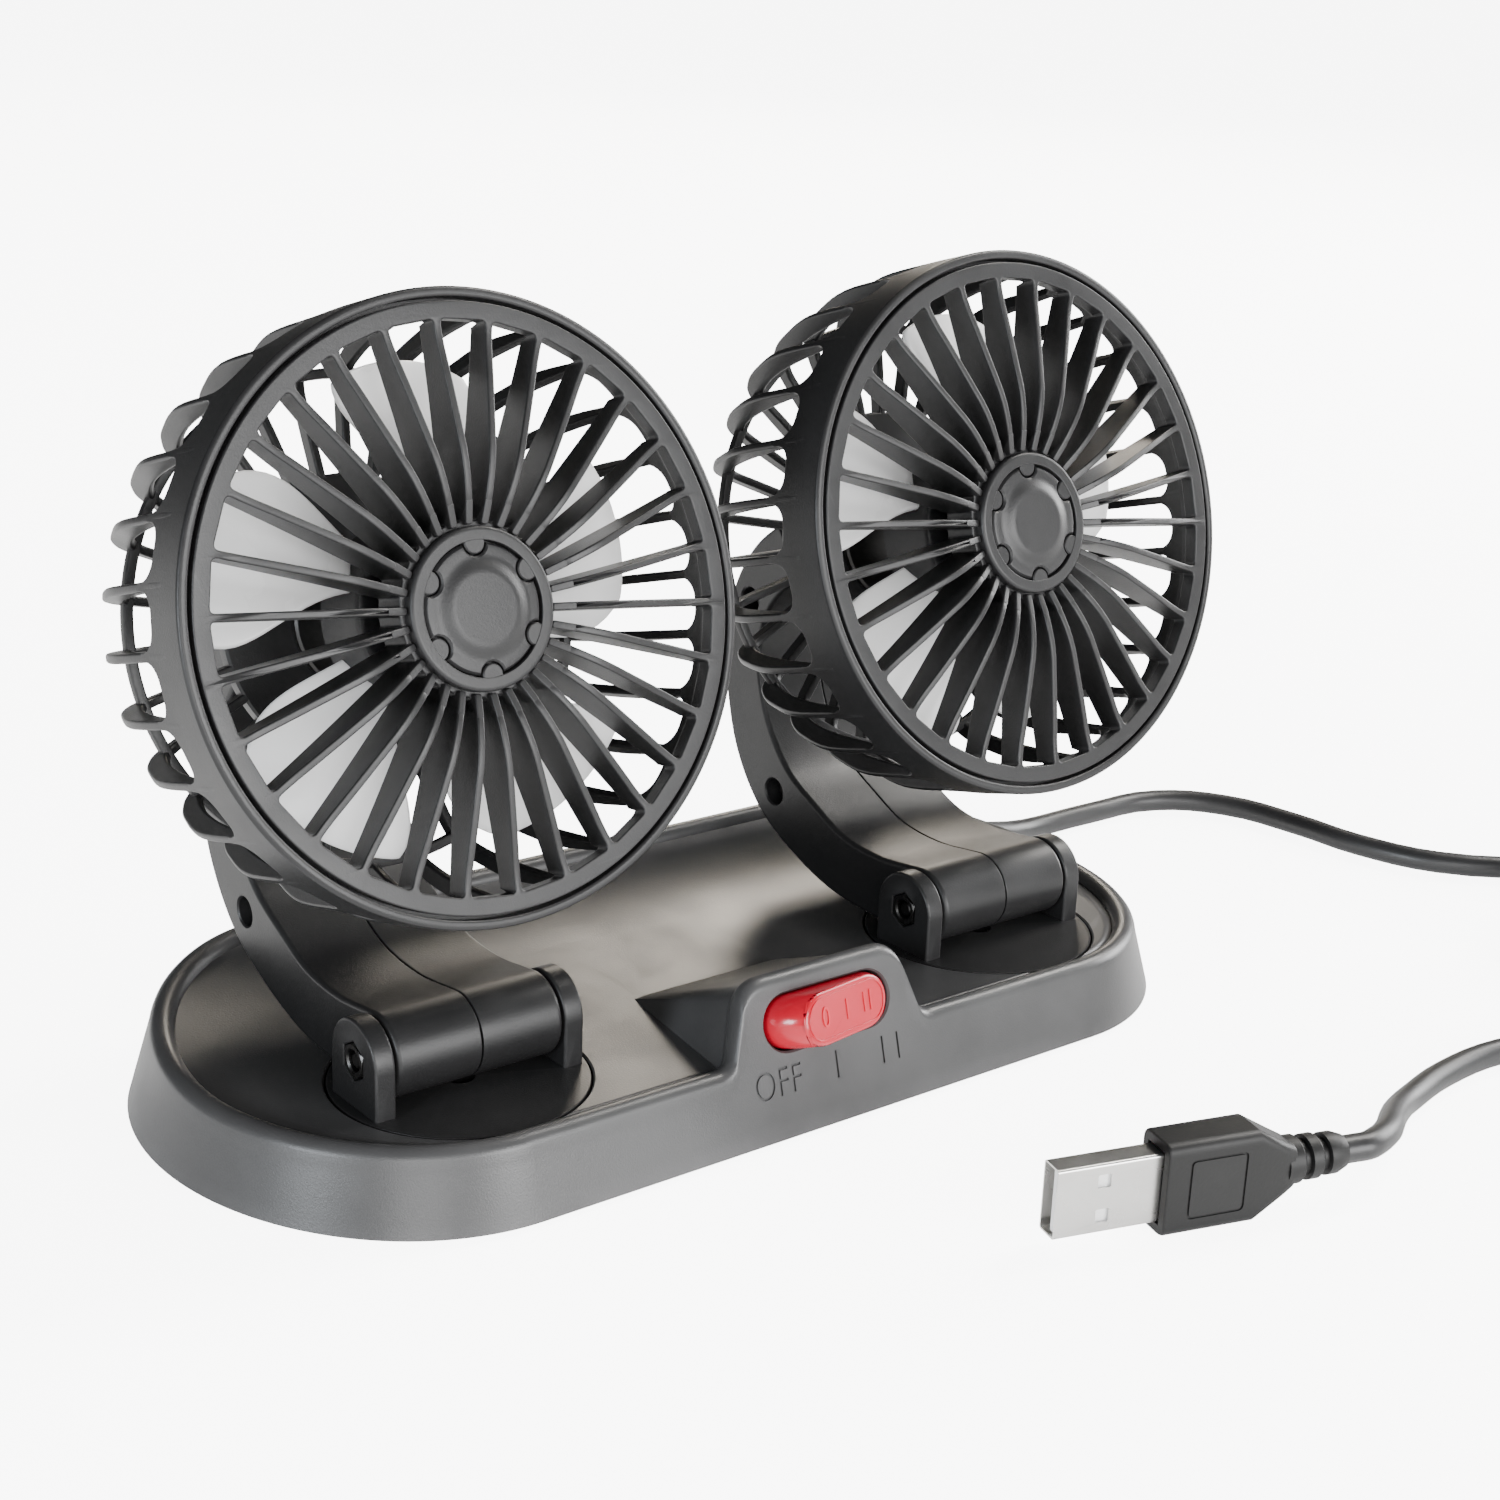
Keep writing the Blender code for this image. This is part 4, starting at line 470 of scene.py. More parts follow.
def hexagon(corner):
    return arc(corner, 0, math.tau * 5 / 6, 5)


def stadium(half_length, half_height, steps):
    reach = half_length - half_height
    right = arc(half_height, -QUARTER, QUARTER, steps, (reach, 0))
    return right + arc(half_height, QUARTER, 3 * QUARTER, steps, (-reach, 0))


def rounded(points, radius, steps=3):
    """A closed outline or an open profile with rounded corners; each may have its own radius."""
    made = []
    for k, point in enumerate(points):
        size = radius[k] if isinstance(radius, (list, tuple)) else radius
        if not size:
            made.append(tuple(point))
            continue
        here = Vector(point)
        before, after = Vector(points[k - 1]) - here, Vector(points[(k + 1) % len(points)]) - here
        size = min(size, 0.45 * before.length, 0.45 * after.length)
        first, last = here + before.normalized() * size, here + after.normalized() * size
        for j in range(steps + 1):
            t = j / steps
            made.append(tuple(first * (1 - t) ** 2 + here * (2 * t * (1 - t)) + last * t ** 2))
    return made


def smooth_line(points, steps):
    """A curve through given points, any number of values each."""
    rows = [Vector(p) for p in points]
    rows = [2 * rows[0] - rows[1], *rows, 2 * rows[-1] - rows[-2]]
    line = []
    for a, b, c, d in zip(rows, rows[1:], rows[2:], rows[3:]):
        for k in range(steps):
            t = k / steps
            line.append(0.5 * (2 * b + (c - a) * t + (2 * a - 5 * b + 4 * c - d) * t ** 2
                               + (3 * b - a - 3 * c + d) * t ** 3))
    return [*line, rows[-2]]


# Places and dressing


def hinge_place(sign):
    return at(sign * TURN[0], TURN[1], DISH_Z + HINGE_HEIGHT)


def head_local():
    return at(0, -HEAD_FORWARD, HEAD_RISE) @ Matrix.Rotation(QUARTER - HEAD_TILT, 4, "X")


def head_place(sign):
    return hinge_place(sign) @ head_local()


def panel_place(z=PANEL_Z):
    """On the leaning front wall, +Z outward."""
    y = -BASE_HALF_DEPTH + z * math.tan(WALL_LEAN)
    return at(0, y, z) @ Matrix.Rotation(QUARTER - WALL_LEAN, 4, "X")


def rocker_place():
    return panel_place() @ at(z=-ROCKER_DEPTH) @ Matrix.Rotation(ROCKER_THROW, 4, "Y")


def exit_place():
    """Where the cord leaves the wall, +Z outward."""
    c, s = math.cos(CORD_EXIT_TURN), math.sin(CORD_EXIT_TURN)
    normal = Vector((c / BASE_END, s / BASE_HALF_DEPTH, 0)).normalized()
    point = Vector((BASE_HALF_LENGTH - BASE_END + BASE_END * c, BASE_HALF_DEPTH * s, CORD_EXIT_Z))
    point -= normal * CORD_EXIT_Z * math.tan(WALL_LEAN)
    return Matrix.Translation(point) @ normal.to_track_quat("Z", "Y").to_matrix().to_4x4()


def plug_place():
    """On the floor at the plug's cord end, +Z along the plug."""
    along, up = Vector((math.cos(PLUG_TURN), math.sin(PLUG_TURN), 0)), AXIS["Z"]
    turn = Matrix((up, along.cross(up), along)).transposed().to_4x4()
    return Matrix.Translation(Vector((*PLUG_END, PLUG_WIDTH / 2)) + along * RELIEF_LENGTH) @ turn


def dress(piece, name, look, body, node, angle=35.0):
    """Name, smooth shading, finish, the body it rides on, the node it stands for."""
    piece.name = piece.data.name = name
    take(piece)
    bpy.ops.object.shade_smooth_by_angle(angle=math.radians(angle))
    modify(piece, "WEIGHTED_NORMAL", keep_sharp=True)
    piece.data.materials.clear()
    piece.data.materials.append(bpy.data.materials[look])
    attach(piece, body)
    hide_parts(node)
    return piece


def dress_both(piece, name, look, body, node, place, angle=35.0):
    """Copy a piece to both sides and dress the copies; place gives each side's place."""
    for side, sign in SIDES:
        copy = twin(piece, place(sign))
        dress(copy, f"{side}_{name}", look, f"{side}_{body}", f"{side}_{node}", angle)
    discard(piece)


# Finishes


def node_group(name, inputs, outputs):
    """A shader group with inputs (name, value) and outputs (name, kind)."""
    group = bpy.data.node_groups.new(name, "ShaderNodeTree")
    for label, value in inputs:
        made = group.interface.new_socket(label, in_out="INPUT", socket_type="NodeSocketFloat")
        made.default_value = value
    for label, kind in outputs:
        group.interface.new_socket(label, in_out="OUTPUT", socket_type=kind)
    ins, outs = group.nodes.new("NodeGroupInput"), group.nodes.new("NodeGroupOutput")
    return group, ins.outputs, outs.inputs


def add_node(tree, kind, links=(), **settings):
    """A node with its settings; links are (input, socket or value)."""
    node = tree.nodes.new(kind)
    for key, value in settings.items():
        setattr(node, key, value)
    for key, value in links:
        if isinstance(value, bpy.types.NodeSocket):
            tree.links.new(value, node.inputs[key])
        else:
            node.inputs[key].default_value = value
    return node


def grain_group():
    """Fine mould texture: a normal, and a slow mottle for roughness and colour."""
    group, ins, outs = node_group(
        "Mould grain", [("Grain size", 3000.0), ("Depth", 0.00003), ("Mottle size", 60.0)],
        [("Normal", "NodeSocketVector"), ("Mottle", "NodeSocketFloat")])
    place = add_node(group, "ShaderNodeTexCoord").outputs["Object"]
    fine = add_node(group, "ShaderNodeTexNoise", [
        ("Vector", place), ("Scale", ins["Grain size"]), ("Detail", 3.0), ("Roughness", 0.6)])
    slow = add_node(group, "ShaderNodeTexNoise", [
        ("Vector", place), ("Scale", ins["Mottle size"]), ("Detail", 4.0), ("Roughness", 0.55)])
    bump = add_node(group, "ShaderNodeBump", [
        ("Height", fine.outputs["Fac"]), ("Distance", ins["Depth"]), ("Strength", 1.0)])
    group.links.new(bump.outputs["Normal"], outs["Normal"])
    group.links.new(slow.outputs["Fac"], outs["Mottle"])
    return group


def wear_and_shade_group():
    """Where edges stand proud and rub, a wear mask from the surface's curvature broken up by noise;
    and where the surface is hollow, a mask for painted shade.
    """
    group, ins, outs = node_group(
        "Edge wear", [("Reach", REACH), ("Patchiness", 180.0)],
        [("Mask", "NodeSocketFloat"), ("Hollow", "NodeSocketFloat")])
    point = add_node(group, "ShaderNodeNewGeometry").outputs["Pointiness"]
    place = add_node(group, "ShaderNodeTexCoord").outputs["Object"]
    patch = add_node(group, "ShaderNodeTexNoise", [
        ("Vector", place), ("Scale", ins["Patchiness"]), ("Detail", 3.0)])
    top = add_node(group, "ShaderNodeMath", [(0, PROUD), (1, ins["Reach"])], operation="ADD")
    edge = add_node(group, "ShaderNodeMapRange", [
        ("Value", point), ("From Min", PROUD), ("From Max", top.outputs[0])])
    worn = add_node(group, "ShaderNodeMath", [
        (0, edge.outputs["Result"]), (1, patch.outputs["Fac"])], operation="MULTIPLY")
    # Painted shade: this mask darkens the colour where the surface is hollow, in creases and
    # recesses
    hollow = add_node(group, "ShaderNodeMapRange", [
        ("Value", point), ("From Min", HOLLOW), ("From Max", HOLLOW - REACH)])
    group.links.new(worn.outputs[0], outs["Mask"])
    group.links.new(hollow.outputs["Result"], outs["Hollow"])
    return group


def mixed(tree, share, first, second):
    """Colour mixed from one to another by a share."""
    socket = bpy.types.NodeSocket
    colours = [value if isinstance(value, socket) else (*value, 1.0) for value in (first, second)]
    node = add_node(tree, "ShaderNodeMix", [(0, share), (6, colours[0]), (7, colours[1])],
                    data_type="RGBA")
    return node.outputs[2]


def ranged(tree, value, low, high):
    """A noise value spread from low to high."""
    node = add_node(tree, "ShaderNodeMapRange", [
        ("Value", value), ("From Min", 0.3), ("From Max", 0.7), ("To Min", low), ("To Max", high)])
    return node.outputs["Result"]


def finish_look(name, colour, rough, groups, grain=3000.0, depth=0.00003, wear=0.25, mottle=0.10,
                **sockets):
    """A moulded or plated finish: mottled colour and roughness, edge wear, painted shade in the
    hollows, grain as a normal.
    """
    made = bpy.data.materials.new(name)
    made.use_nodes = True
    tree = made.node_tree
    shader = tree.nodes["Principled BSDF"]
    grains = add_node(tree, "ShaderNodeGroup", node_tree=groups["grain"])
    grains.inputs["Grain size"].default_value, grains.inputs["Depth"].default_value = grain, depth
    # Its masks: the worn edges, and the hollows that get painted shade
    worn = add_node(tree, "ShaderNodeGroup", node_tree=groups["wear"])
    shades = ((1 - mottle, 0), (1 + mottle, 0), (1 + wear * RUB_GAIN, wear * RUB_LIFT),
              (HOLLOW_SHADE, 0))
    dark, light, rub, deep = (
        tuple(min(1.0, c * share + extra) for c in colour) for share, extra in shades)
    paint = mixed(tree, ranged(tree, grains.outputs["Mottle"], 0.0, 1.0), dark, light)
    paint = mixed(tree, worn.outputs["Mask"], paint, rub)
    # Painted shade: the colour darkened to deep in the hollows
    paint = mixed(tree, worn.outputs["Hollow"], paint, deep)
    matt = ranged(tree, grains.outputs["Mottle"], rough - ROUGH_SPREAD, rough + ROUGH_SPREAD)
    normal = grains.outputs["Normal"]
    for socket, key in ((paint, "Base Color"), (matt, "Roughness"), (normal, "Normal")):
        tree.links.new(socket, shader.inputs[key])
    for key, value in sockets.items():
        shader.inputs[key.replace("_", " ")].default_value = value


class FanOperator:
    """What the operators share."""

    bl_options = {"REGISTER", "UNDO"}


class DESKFAN_OT_finishes(FanOperator, bpy.types.Operator):
    """Make the finishes and put them on the parts that stay as they are"""

    bl_idname = "deskfan.finishes"
    bl_label = "Finishes"

    def execute(self, context):
        groups = {"grain": grain_group(), "wear": wear_and_shade_group()}
        for name, (_, key, rough, settings) in FINISHES.items():
            colour = tuple(getattr(context.scene.desk_fan_colours, key))
            finish_look(name, colour, rough, groups, **settings)
        for node, look in PLAIN_PARTS.items():
            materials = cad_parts[node].data.materials
            materials.clear()
            materials.append(bpy.data.materials[look])
        return {"FINISHED"}


# Stage


class DESKFAN_OT_stage(FanOperator, bpy.types.Operator):
    """Set up the camera, the pale floor and the studio lights"""

    bl_idname = "deskfan.stage"
    bl_label = "Stage"

    def execute(self, context):
        leave_all()
        bpy.ops.object.camera_add(location=CAMERA_PLACE)
        camera = context.object
        camera.name = "photo_camera"
        camera.data.lens, camera.data.clip_start = CAMERA_LENS, 0.01
        forward = Vector((math.sin(CAMERA_YAW) * math.cos(CAMERA_PITCH),
                          math.cos(CAMERA_YAW) * math.cos(CAMERA_PITCH), -math.sin(CAMERA_PITCH)))
        right = Vector((math.cos(CAMERA_YAW), -math.sin(CAMERA_YAW), 0))
        up = right.cross(forward)
        across = right * math.cos(CAMERA_ROLL) + up * math.sin(CAMERA_ROLL)
        upward = up * math.cos(CAMERA_ROLL) - right * math.sin(CAMERA_ROLL)
        camera.rotation_euler = Matrix((across, upward, -forward)).transposed().to_euler()
        context.scene.camera = camera
        self.add_floor()
        self.add_room(context)
        self.add_lights()
        return {"FINISHED"}

    def add_floor(self):
        """A pale floor that glows only for the camera and is clear from below."""
        bpy.ops.mesh.primitive_plane_add(size=FLOOR_SIZE, location=(0, 0, FLOOR_HEIGHT))
        floor = bpy.context.object
        floor.name = "floor"
        made = bpy.data.materials.new("pale floor")
        made.use_nodes = True
        tree = made.node_tree
        shader = tree.nodes["Principled BSDF"]
        for key, value in (("Base Color", FLOOR_COLOUR), ("Roughness", FLOOR_ROUGH),
                           ("Specular IOR Level", 0.0), ("Emission Color", (1.0, 1.0, 1.0, 1.0))):
            shader.inputs[key].default_value = value
        seen = add_node(tree, "ShaderNodeLightPath").outputs["Is Camera Ray"]
        glow = add_node(tree, "ShaderNodeMapRange", [
            ("Value", seen), ("To Min", TABLE_GLOW), ("To Max", FLOOR_GLOW)])
        tree.links.new(glow.outputs["Result"], shader.inputs["Emission Strength"])
        below = add_node(tree, "ShaderNodeNewGeometry").outputs["Backfacing"]
        clear = add_node(tree, "ShaderNodeBsdfTransparent").outputs[0]
        mix = add_node(tree, "ShaderNodeMixShader", [
            (0, below), (1, shader.outputs[0]), (2, clear)])
        tree.links.new(mix.outputs[0], tree.nodes["Material Output"].inputs[0])
        floor.data.materials.append(made)

    def add_room(self, context):
        """A dim room that the camera sees as a bright backdrop."""
        world = bpy.data.worlds.new("studio")
        context.scene.world = world
        world.use_nodes = True
        tree = world.node_tree
        room, backdrop = tree.nodes["Background"], add_node(tree, "ShaderNodeBackground")
        for shade, strength in ((room, ROOM_LIGHT), (backdrop, BACKDROP_LIGHT)):
            shade.inputs["Strength"].default_value = strength
            shade.inputs["Color"].default_value = (1.0, 1.0, 1.0, 1.0)
        seen = add_node(tree, "ShaderNodeLightPath").outputs["Is Camera Ray"]
        mix = add_node(tree, "ShaderNodeMixShader", [
            (0, seen), (1, room.outputs[0]), (2, backdrop.outputs[0])])
        tree.links.new(mix.outputs[0], tree.nodes["World Output"].inputs[0])

    def add_lights(self):
        for name, place, size, power, colour in SOFTBOXES:
            bpy.ops.object.light_add(type="AREA", location=place)
            light = bpy.context.object
            light.name = name
            light.data.shape, light.data.size = "SQUARE", size
            light.data.energy, light.data.color = power, colour
            light.rotation_euler = (Vector(place) - LIGHTS_AIM).to_track_quat("Z", "Y").to_euler()


# Base


def rim_height(y):
    run = max(0.0, (y - RIM_START_Y) / (BASE_HALF_DEPTH - RIM_START_Y))
    return RIM_FRONT_Z + RIM_BACK_RISE * run ** RIM_POWER


def sweep_at(y):
    """How far the dish's slope runs in from the lip."""
    share = (y + BASE_HALF_DEPTH) / (2 * BASE_HALF_DEPTH)
    return SWEEP_FRONT + (SWEEP_BACK - SWEEP_FRONT) * share ** SWEEP_POWER


def hump_outline():
    """The hump's right half seen from the front, from its foot to the middle of its top."""
    corners = [(HUMP_FOOT + HUMP_SIDE, RIM_FRONT_Z), (HUMP_FOOT, RIM_FRONT_Z),
               (HUMP_TOP_HALF, HUMP_TOP_Z), (0.0, HUMP_TOP_Z)]
    line = rounded(corners, [0, HUMP_FILLET, HUMP_CORNER, 0], 10)
    middle = [(line[-2][0] * share, HUMP_TOP_Z) for share in (0.75, 0.5, 0.25)]
    return line[:-1] + middle + [line[-1]]


def base_stations():
    """Round the base: point, outward normal, rim height, length of the dish's sweep, its power."""
    straight = BASE_HALF_LENGTH - BASE_END
    rows = []

    def add(x, y, normal, height, sweep, power=DISH_POWER):
        rows.append((Vector((x, y)), Vector(normal).normalized(), height, sweep, power))

    half = hump_outline()
    for x, z in [(-x, z) for x, z in half[:-1]] + [(x, z) for x, z in reversed(half)]:
        reach = min(1.0, max(0.0, (HUMP_FOOT - abs(x)) / (HUMP_FOOT - HUMP_TOP_HALF)))
        rise = min(1.0, max(0.0, (z - RIM_FRONT_Z) / (HUMP_TOP_Z - RIM_FRONT_Z)))
        sweep = SWEEP_FRONT + (HUMP_LENGTH - SWEEP_FRONT) * reach
        add(x, -BASE_HALF_DEPTH, (0, -1), z, sweep, DISH_POWER - min(1.0, 8 * rise))
    foot = half[0][0]
    run = [foot + (straight - foot) * k / FRONT_STEPS for k in range(1, FRONT_STEPS + 1)]
    for x in run:
        add(x, -BASE_HALF_DEPTH, (0, -1), RIM_FRONT_Z, SWEEP_FRONT)
    ends = []
    for k in range(1, END_STEPS):
        angle = -QUARTER + math.pi * k / END_STEPS
        c, s = math.cos(angle), math.sin(angle)
        normal = (c / BASE_END, s / BASE_HALF_DEPTH)
        ends.append((straight + BASE_END * c, BASE_HALF_DEPTH * s, normal))
    for x, y, normal in ends:
        add(x, y, normal, rim_height(y), sweep_at(y))
    y = BASE_HALF_DEPTH
    for k in range(BACK_STEPS + 1):
        add(straight * (1 - 2 * k / BACK_STEPS), y, (0, 1), rim_height(y), sweep_at(y))
    for x, y, (a, b) in reversed(ends):
        add(-x, y, (-a, b), rim_height(y), sweep_at(y))
    for x in reversed(run):
        add(-x, -BASE_HALF_DEPTH, (0, -1), RIM_FRONT_Z, SWEEP_FRONT)
    return rows


def base_rings(rows, wall, bottom, lip):
    """Rings of points from the bottom edge over the lip and down into the dish."""
    lean = math.tan(WALL_LEAN)
    rings = []

    def ring(inset_of, height_of):
        rings.append([(*(row[0] - row[1] * inset_of(row)), height_of(row)) for row in rows])

    def edge(row):
        return (row[2] - lip) * lean + wall

    ring(lambda row: bottom * lean + wall, lambda row: bottom)
    if wall:
        ring(lambda row: edge(row) - wall * lean, lambda row: row[2] - lip - wall)
        inner, shares = lip, (0.5, 1.0)
    else:
        low, middle, high = WALL_RINGS
        for height_of in (lambda row: bottom + low, lambda row: middle,
                          lambda row: min(high, row[2] - lip - 2 * PAST),
                          lambda row: row[2] - lip - PAST):
            ring(lambda row, h=height_of: h(row) * lean, height_of)
        start, end = LIP_ARC
        for k in range(LIP_STEPS + 1):
            angle = start + (end - start) * k / LIP_STEPS
            ring(lambda row, a=angle: edge(row) + lip * (1 - math.cos(a)),
                 lambda row, a=angle: row[2] - lip + lip * math.sin(a))
        inner, shares = 2 * lip, [k / DISH_STEPS for k in range(DISH_STEPS + 1)]
    for share in shares:
        ring(lambda row, s=share: edge(row) + inner + row[3] * s,
             lambda row, s=share: DISH_Z - wall + (row[2] - lip - DISH_Z) * (1 - s) ** row[4])
    return rings


class DESKFAN_OT_base(FanOperator, bpy.types.Operator):
    """Model the base's shell with its dish, switch hump, sockets and marks"""

    bl_idname = "deskfan.base"
    bl_label = "Base shell"

    def execute(self, context):
        rows, lip = base_stations(), sizes().lip_round
        shell = lofted(base_rings(rows, 0.0, BASE_LIFT, lip))
        hollow = lofted(base_rings(rows, WALL, BASE_LIFT - 2 * PAST, lip))
        for piece in (shell, hollow):
            modify(piece, "TRIANGULATE")
        carve(hollow, self.round_pair([(WALL, CUP_FLOOR_Z - 2 * PAST), (WALL, DISH_Z - GAP)]))
        pockets = self.round_pair([(0, CUP_FLOOR_Z), (0, DISH_Z - GAP), (GAP, DISH_Z + MERGE),
                                   (GAP, POCKET_TOP_Z)], HUB_RADIUS + GAP)
        cord_hole = settle(rod(GROMMET_RADIUS + GAP, -THROUGH, THROUGH), exit_place())
        carve(shell, hollow, self.slot(), cord_hole, self.marks(), pockets)
        dress(shell, "base_body", "satin grey plastic", "base", "base_shell", 28.0)
        return {"FINISHED"}

    def round_pair(self, steps, bore=0.0):
        """Round bodies in both turntables' places, from (outset, height), with a bore below."""
        profile = [(TURN_RADIUS + GAP + outset, z) for outset, z in steps]
        foot = [(0, PAST), (bore, PAST), (bore, steps[0][1])] if bore else [(0, steps[0][1])]
        body = lathe([*foot, *profile, (0, steps[-1][1])], 96)
        off_line = Matrix.Rotation(math.radians(0.6), 4, "Z")
        pair = [twin(body, at(sign * TURN[0], TURN[1]) @ off_line) for _, sign in SIDES]
        discard(body)
        return join(*pair)

    def slot(self):
        a, b = SLOT_HALF
        slot = stacked([(stadium(a + grow, b + grow, 14), z) for grow, z in SLOT_LAYERS])
        return settle(slot, panel_place())

    def marks(self):
        made = []
        for text, x, spread in MARKS:
            place = panel_place(MARKS_Z) @ at(x) @ Matrix.Scale(MARKS_NARROW, 4, AXIS["X"])
            made.append(mark(text, sizes().letter_height, place, sizes().letter_depth,
                             spread=spread))
        return join(*made)


class DESKFAN_OT_underside(FanOperator, bpy.types.Operator):
    """Model the screws that hold the base plate"""

    bl_idname = "deskfan.underside"
    bl_label = "Base screws"

    def execute(self, context):
        screw = cross_screw(*BASE_SCREW)
        for number, (x, y) in enumerate(BASE_SCREW_PLACES, 1):
            node = f"base_screw_{number}"
            dress(twin(screw, at(x, y, BASE_SCREW_Z)), f"{node}_body", "plated metal", "base", node)
        discard(screw)
        return {"FINISHED"}


def cross_screw(head, thick, shank, length):
    """A pan screw along +Z, its head's outer face at the origin, with a cross recess."""
    profile = [(0, 0), (head * 0.86, 0), (head, thick * 0.35), (head, thick), (shank, thick)]
    root = shank * THREAD_ROOT
    for k in range(int((length - thick) / THREAD_PITCH)):
        z = thick + (k + 0.5) * THREAD_PITCH
        profile += [(root, z), (shank, z + THREAD_PITCH / 2)]
    screw = lathe(profile + [(root, length - LEAD), (0, length)], 24)
    arm, wide = head * 0.55, head * 0.10
    cross = [(arm, -wide), (arm, wide), (wide, wide), (wide, arm), (-wide, arm), (-wide, wide),
             (-arm, wide), (-arm, -wide), (-wide, -wide), (-wide, -arm), (wide, -arm), (wide, -wide)]
    return carve(screw, prism(cross, -PAST, thick * 0.6))


# Hinges and arms


class DESKFAN_OT_turntables(FanOperator, bpy.types.Operator):
    """Model the turning discs with their ears, bolts and nuts"""

    bl_idname = "deskfan.turntables"
    bl_label = "Turntables"

    def execute(self, context):
        body = "turntable_body"
        dress_both(self.disc(), "turntable_disc", "dark grey plastic", body, "turntable",
                   lambda sign: at(sign * TURN[0], TURN[1], DISH_Z), 32.0)
        for piece, node in ((self.bolt(), "hinge_bolt"), (self.nut(), "hinge_nut")):
            dress_both(piece, f"{node}_piece", "blackened metal", body, node, hinge_place)
        return {"FINISHED"}

    def disc(self):
        groove, (low, high) = HUB_RADIUS - GROOVE_DEPTH, GROOVE_SPAN
        profile = [(HUB_BORE, 0), (TURN_RADIUS - CHAMFER, 0), (TURN_RADIUS - 0.0001, -0.0001),
                   (TURN_RADIUS, -CHAMFER), (TURN_RADIUS, -TURN_THICK), (HUB_RADIUS, -TURN_THICK),
                   (HUB_RADIUS, high), (groove, high), (groove, low), (HUB_RADIUS, low),
                   (HUB_RADIUS, HUB_END), (HUB_BORE, HUB_END), (HUB_BORE, 0)]
        plate = lathe(profile, 96)
        outline = [(EAR_RADIUS, -0.0006)]
        outline += [*arc(EAR_RADIUS, 0, math.pi, 24, (0, HINGE_HEIGHT)), (-EAR_RADIUS, -0.0006)]
        for low in (-EAR_HALF, EAR_HALF - EAR_THICK):
            ear = prism(outline, low, low + EAR_THICK, "X")
            bevel_edges(ear, lambda e: abs(e.verts[0].co.x - e.verts[1].co.x) < MERGE
                        and max(v.co.z for v in e.verts) > 0, sizes().edge_round, 3)
            carve(plate, ear, operation="UNION")
        across = at(z=HINGE_HEIGHT) @ ALONG_X
        bore, head = BOLT_RADIUS + GAP, BOLT_HEAD + GAP
        seat, past = EAR_HALF - BOLT_HEAD_THICK - GAP, EAR_HALF + 2 * PAST
        hole = lathe([(0, -past), (bore, -past), (bore, seat), (head, seat),
                      (head, EAR_HALF - 0.0002), (head + LEAD, EAR_HALF + 0.0001),
                      (head + LEAD, past), (0, past)], 32)
        corner = (NUT_FLATS / 2 + GAP) / math.cos(math.pi / 6)
        layers = ((LEAD, -past), (LEAD, -EAR_HALF - 0.0001), (0, -EAR_HALF + 0.0002),
                  (0, -EAR_HALF + NUT_THICK + GAP))
        seat_of_nut = stacked([(hexagon(corner + grow), z) for grow, z in layers])
        return carve(plate, settle(hole, across), settle(seat_of_nut, across))

    def bolt(self):
        head, end = EAR_HALF - BOLT_HEAD_THICK, -EAR_HALF + BOLT_SHORT
        profile = [(0, EAR_HALF), (BOLT_HEAD - CHAMFER, EAR_HALF), (BOLT_HEAD, EAR_HALF - CHAMFER),
                   (BOLT_HEAD, head), (BOLT_RADIUS, head), (BOLT_RADIUS, end + CHAMFER),
                   (BOLT_RADIUS - CHAMFER, end), (0, end)]
        bolt = lathe(profile, 32)
        carve(bolt, prism(hexagon(SOCKET_CORNER), EAR_HALF - SOCKET_DEPTH, EAR_HALF + PAST))
        return settle(bolt, ALONG_X)

    def nut(self):
        corner, end = NUT_FLATS / 2 / math.cos(math.pi / 6), -EAR_HALF + NUT_THICK
        nut = prism(hexagon(corner), -EAR_HALF, end)
        wide, bore = corner + 0.0001, BOLT_RADIUS + GAP
        turned = lathe([(0, -EAR_HALF), (NUT_FLATS / 2, -EAR_HALF), (wide, -EAR_HALF + 0.0005),
                        (wide, end), (0, end)], 48)
        carve(nut, turned, operation="INTERSECT")
        hole = lathe([(0, -EAR_HALF - PAST), (bore + LEAD, -EAR_HALF - PAST),
                      (bore + LEAD, -EAR_HALF), (bore, -EAR_HALF + LEAD), (bore, EAR_HALF),
                      (0, EAR_HALF)], 32)
        return settle(carve(nut, hole), ALONG_X)


def arm_outline(steps):
    """The arm's side view, as (y, z) about the hinge."""
    path = [(y * ARM_DEPTH, z * ARM_HEIGHT, half * BARREL_RADIUS) for y, z, half in ARM_PATH_SHARES]
    end = head_local() @ Vector((0, 0, -CAGE_DEPTH - BOSS_LENGTH))
    line = smooth_line([*path, (end.y, end.z, ARM_END_SHARE * BARREL_RADIUS)], steps)
    upper, lower = [], []
    for k, (y, z, half) in enumerate(line):
        before, after = line[max(k - 1, 0)], line[min(k + 1, len(line) - 1)]
        along = Vector((after[0] - before[0], after[1] - before[1])).normalized()
        side = Vector((-along.y, along.x)) * half
        upper.append(Vector((y, z)) + side)
        lower.append(Vector((y, z)) - side)
    start = math.atan2(upper[0].y, upper[0].x)
    barrel = arc(BARREL_RADIUS, start, start + math.pi, 20)[1:-1]
    return [tuple(point) for point in lower + list(reversed(upper)) + barrel]


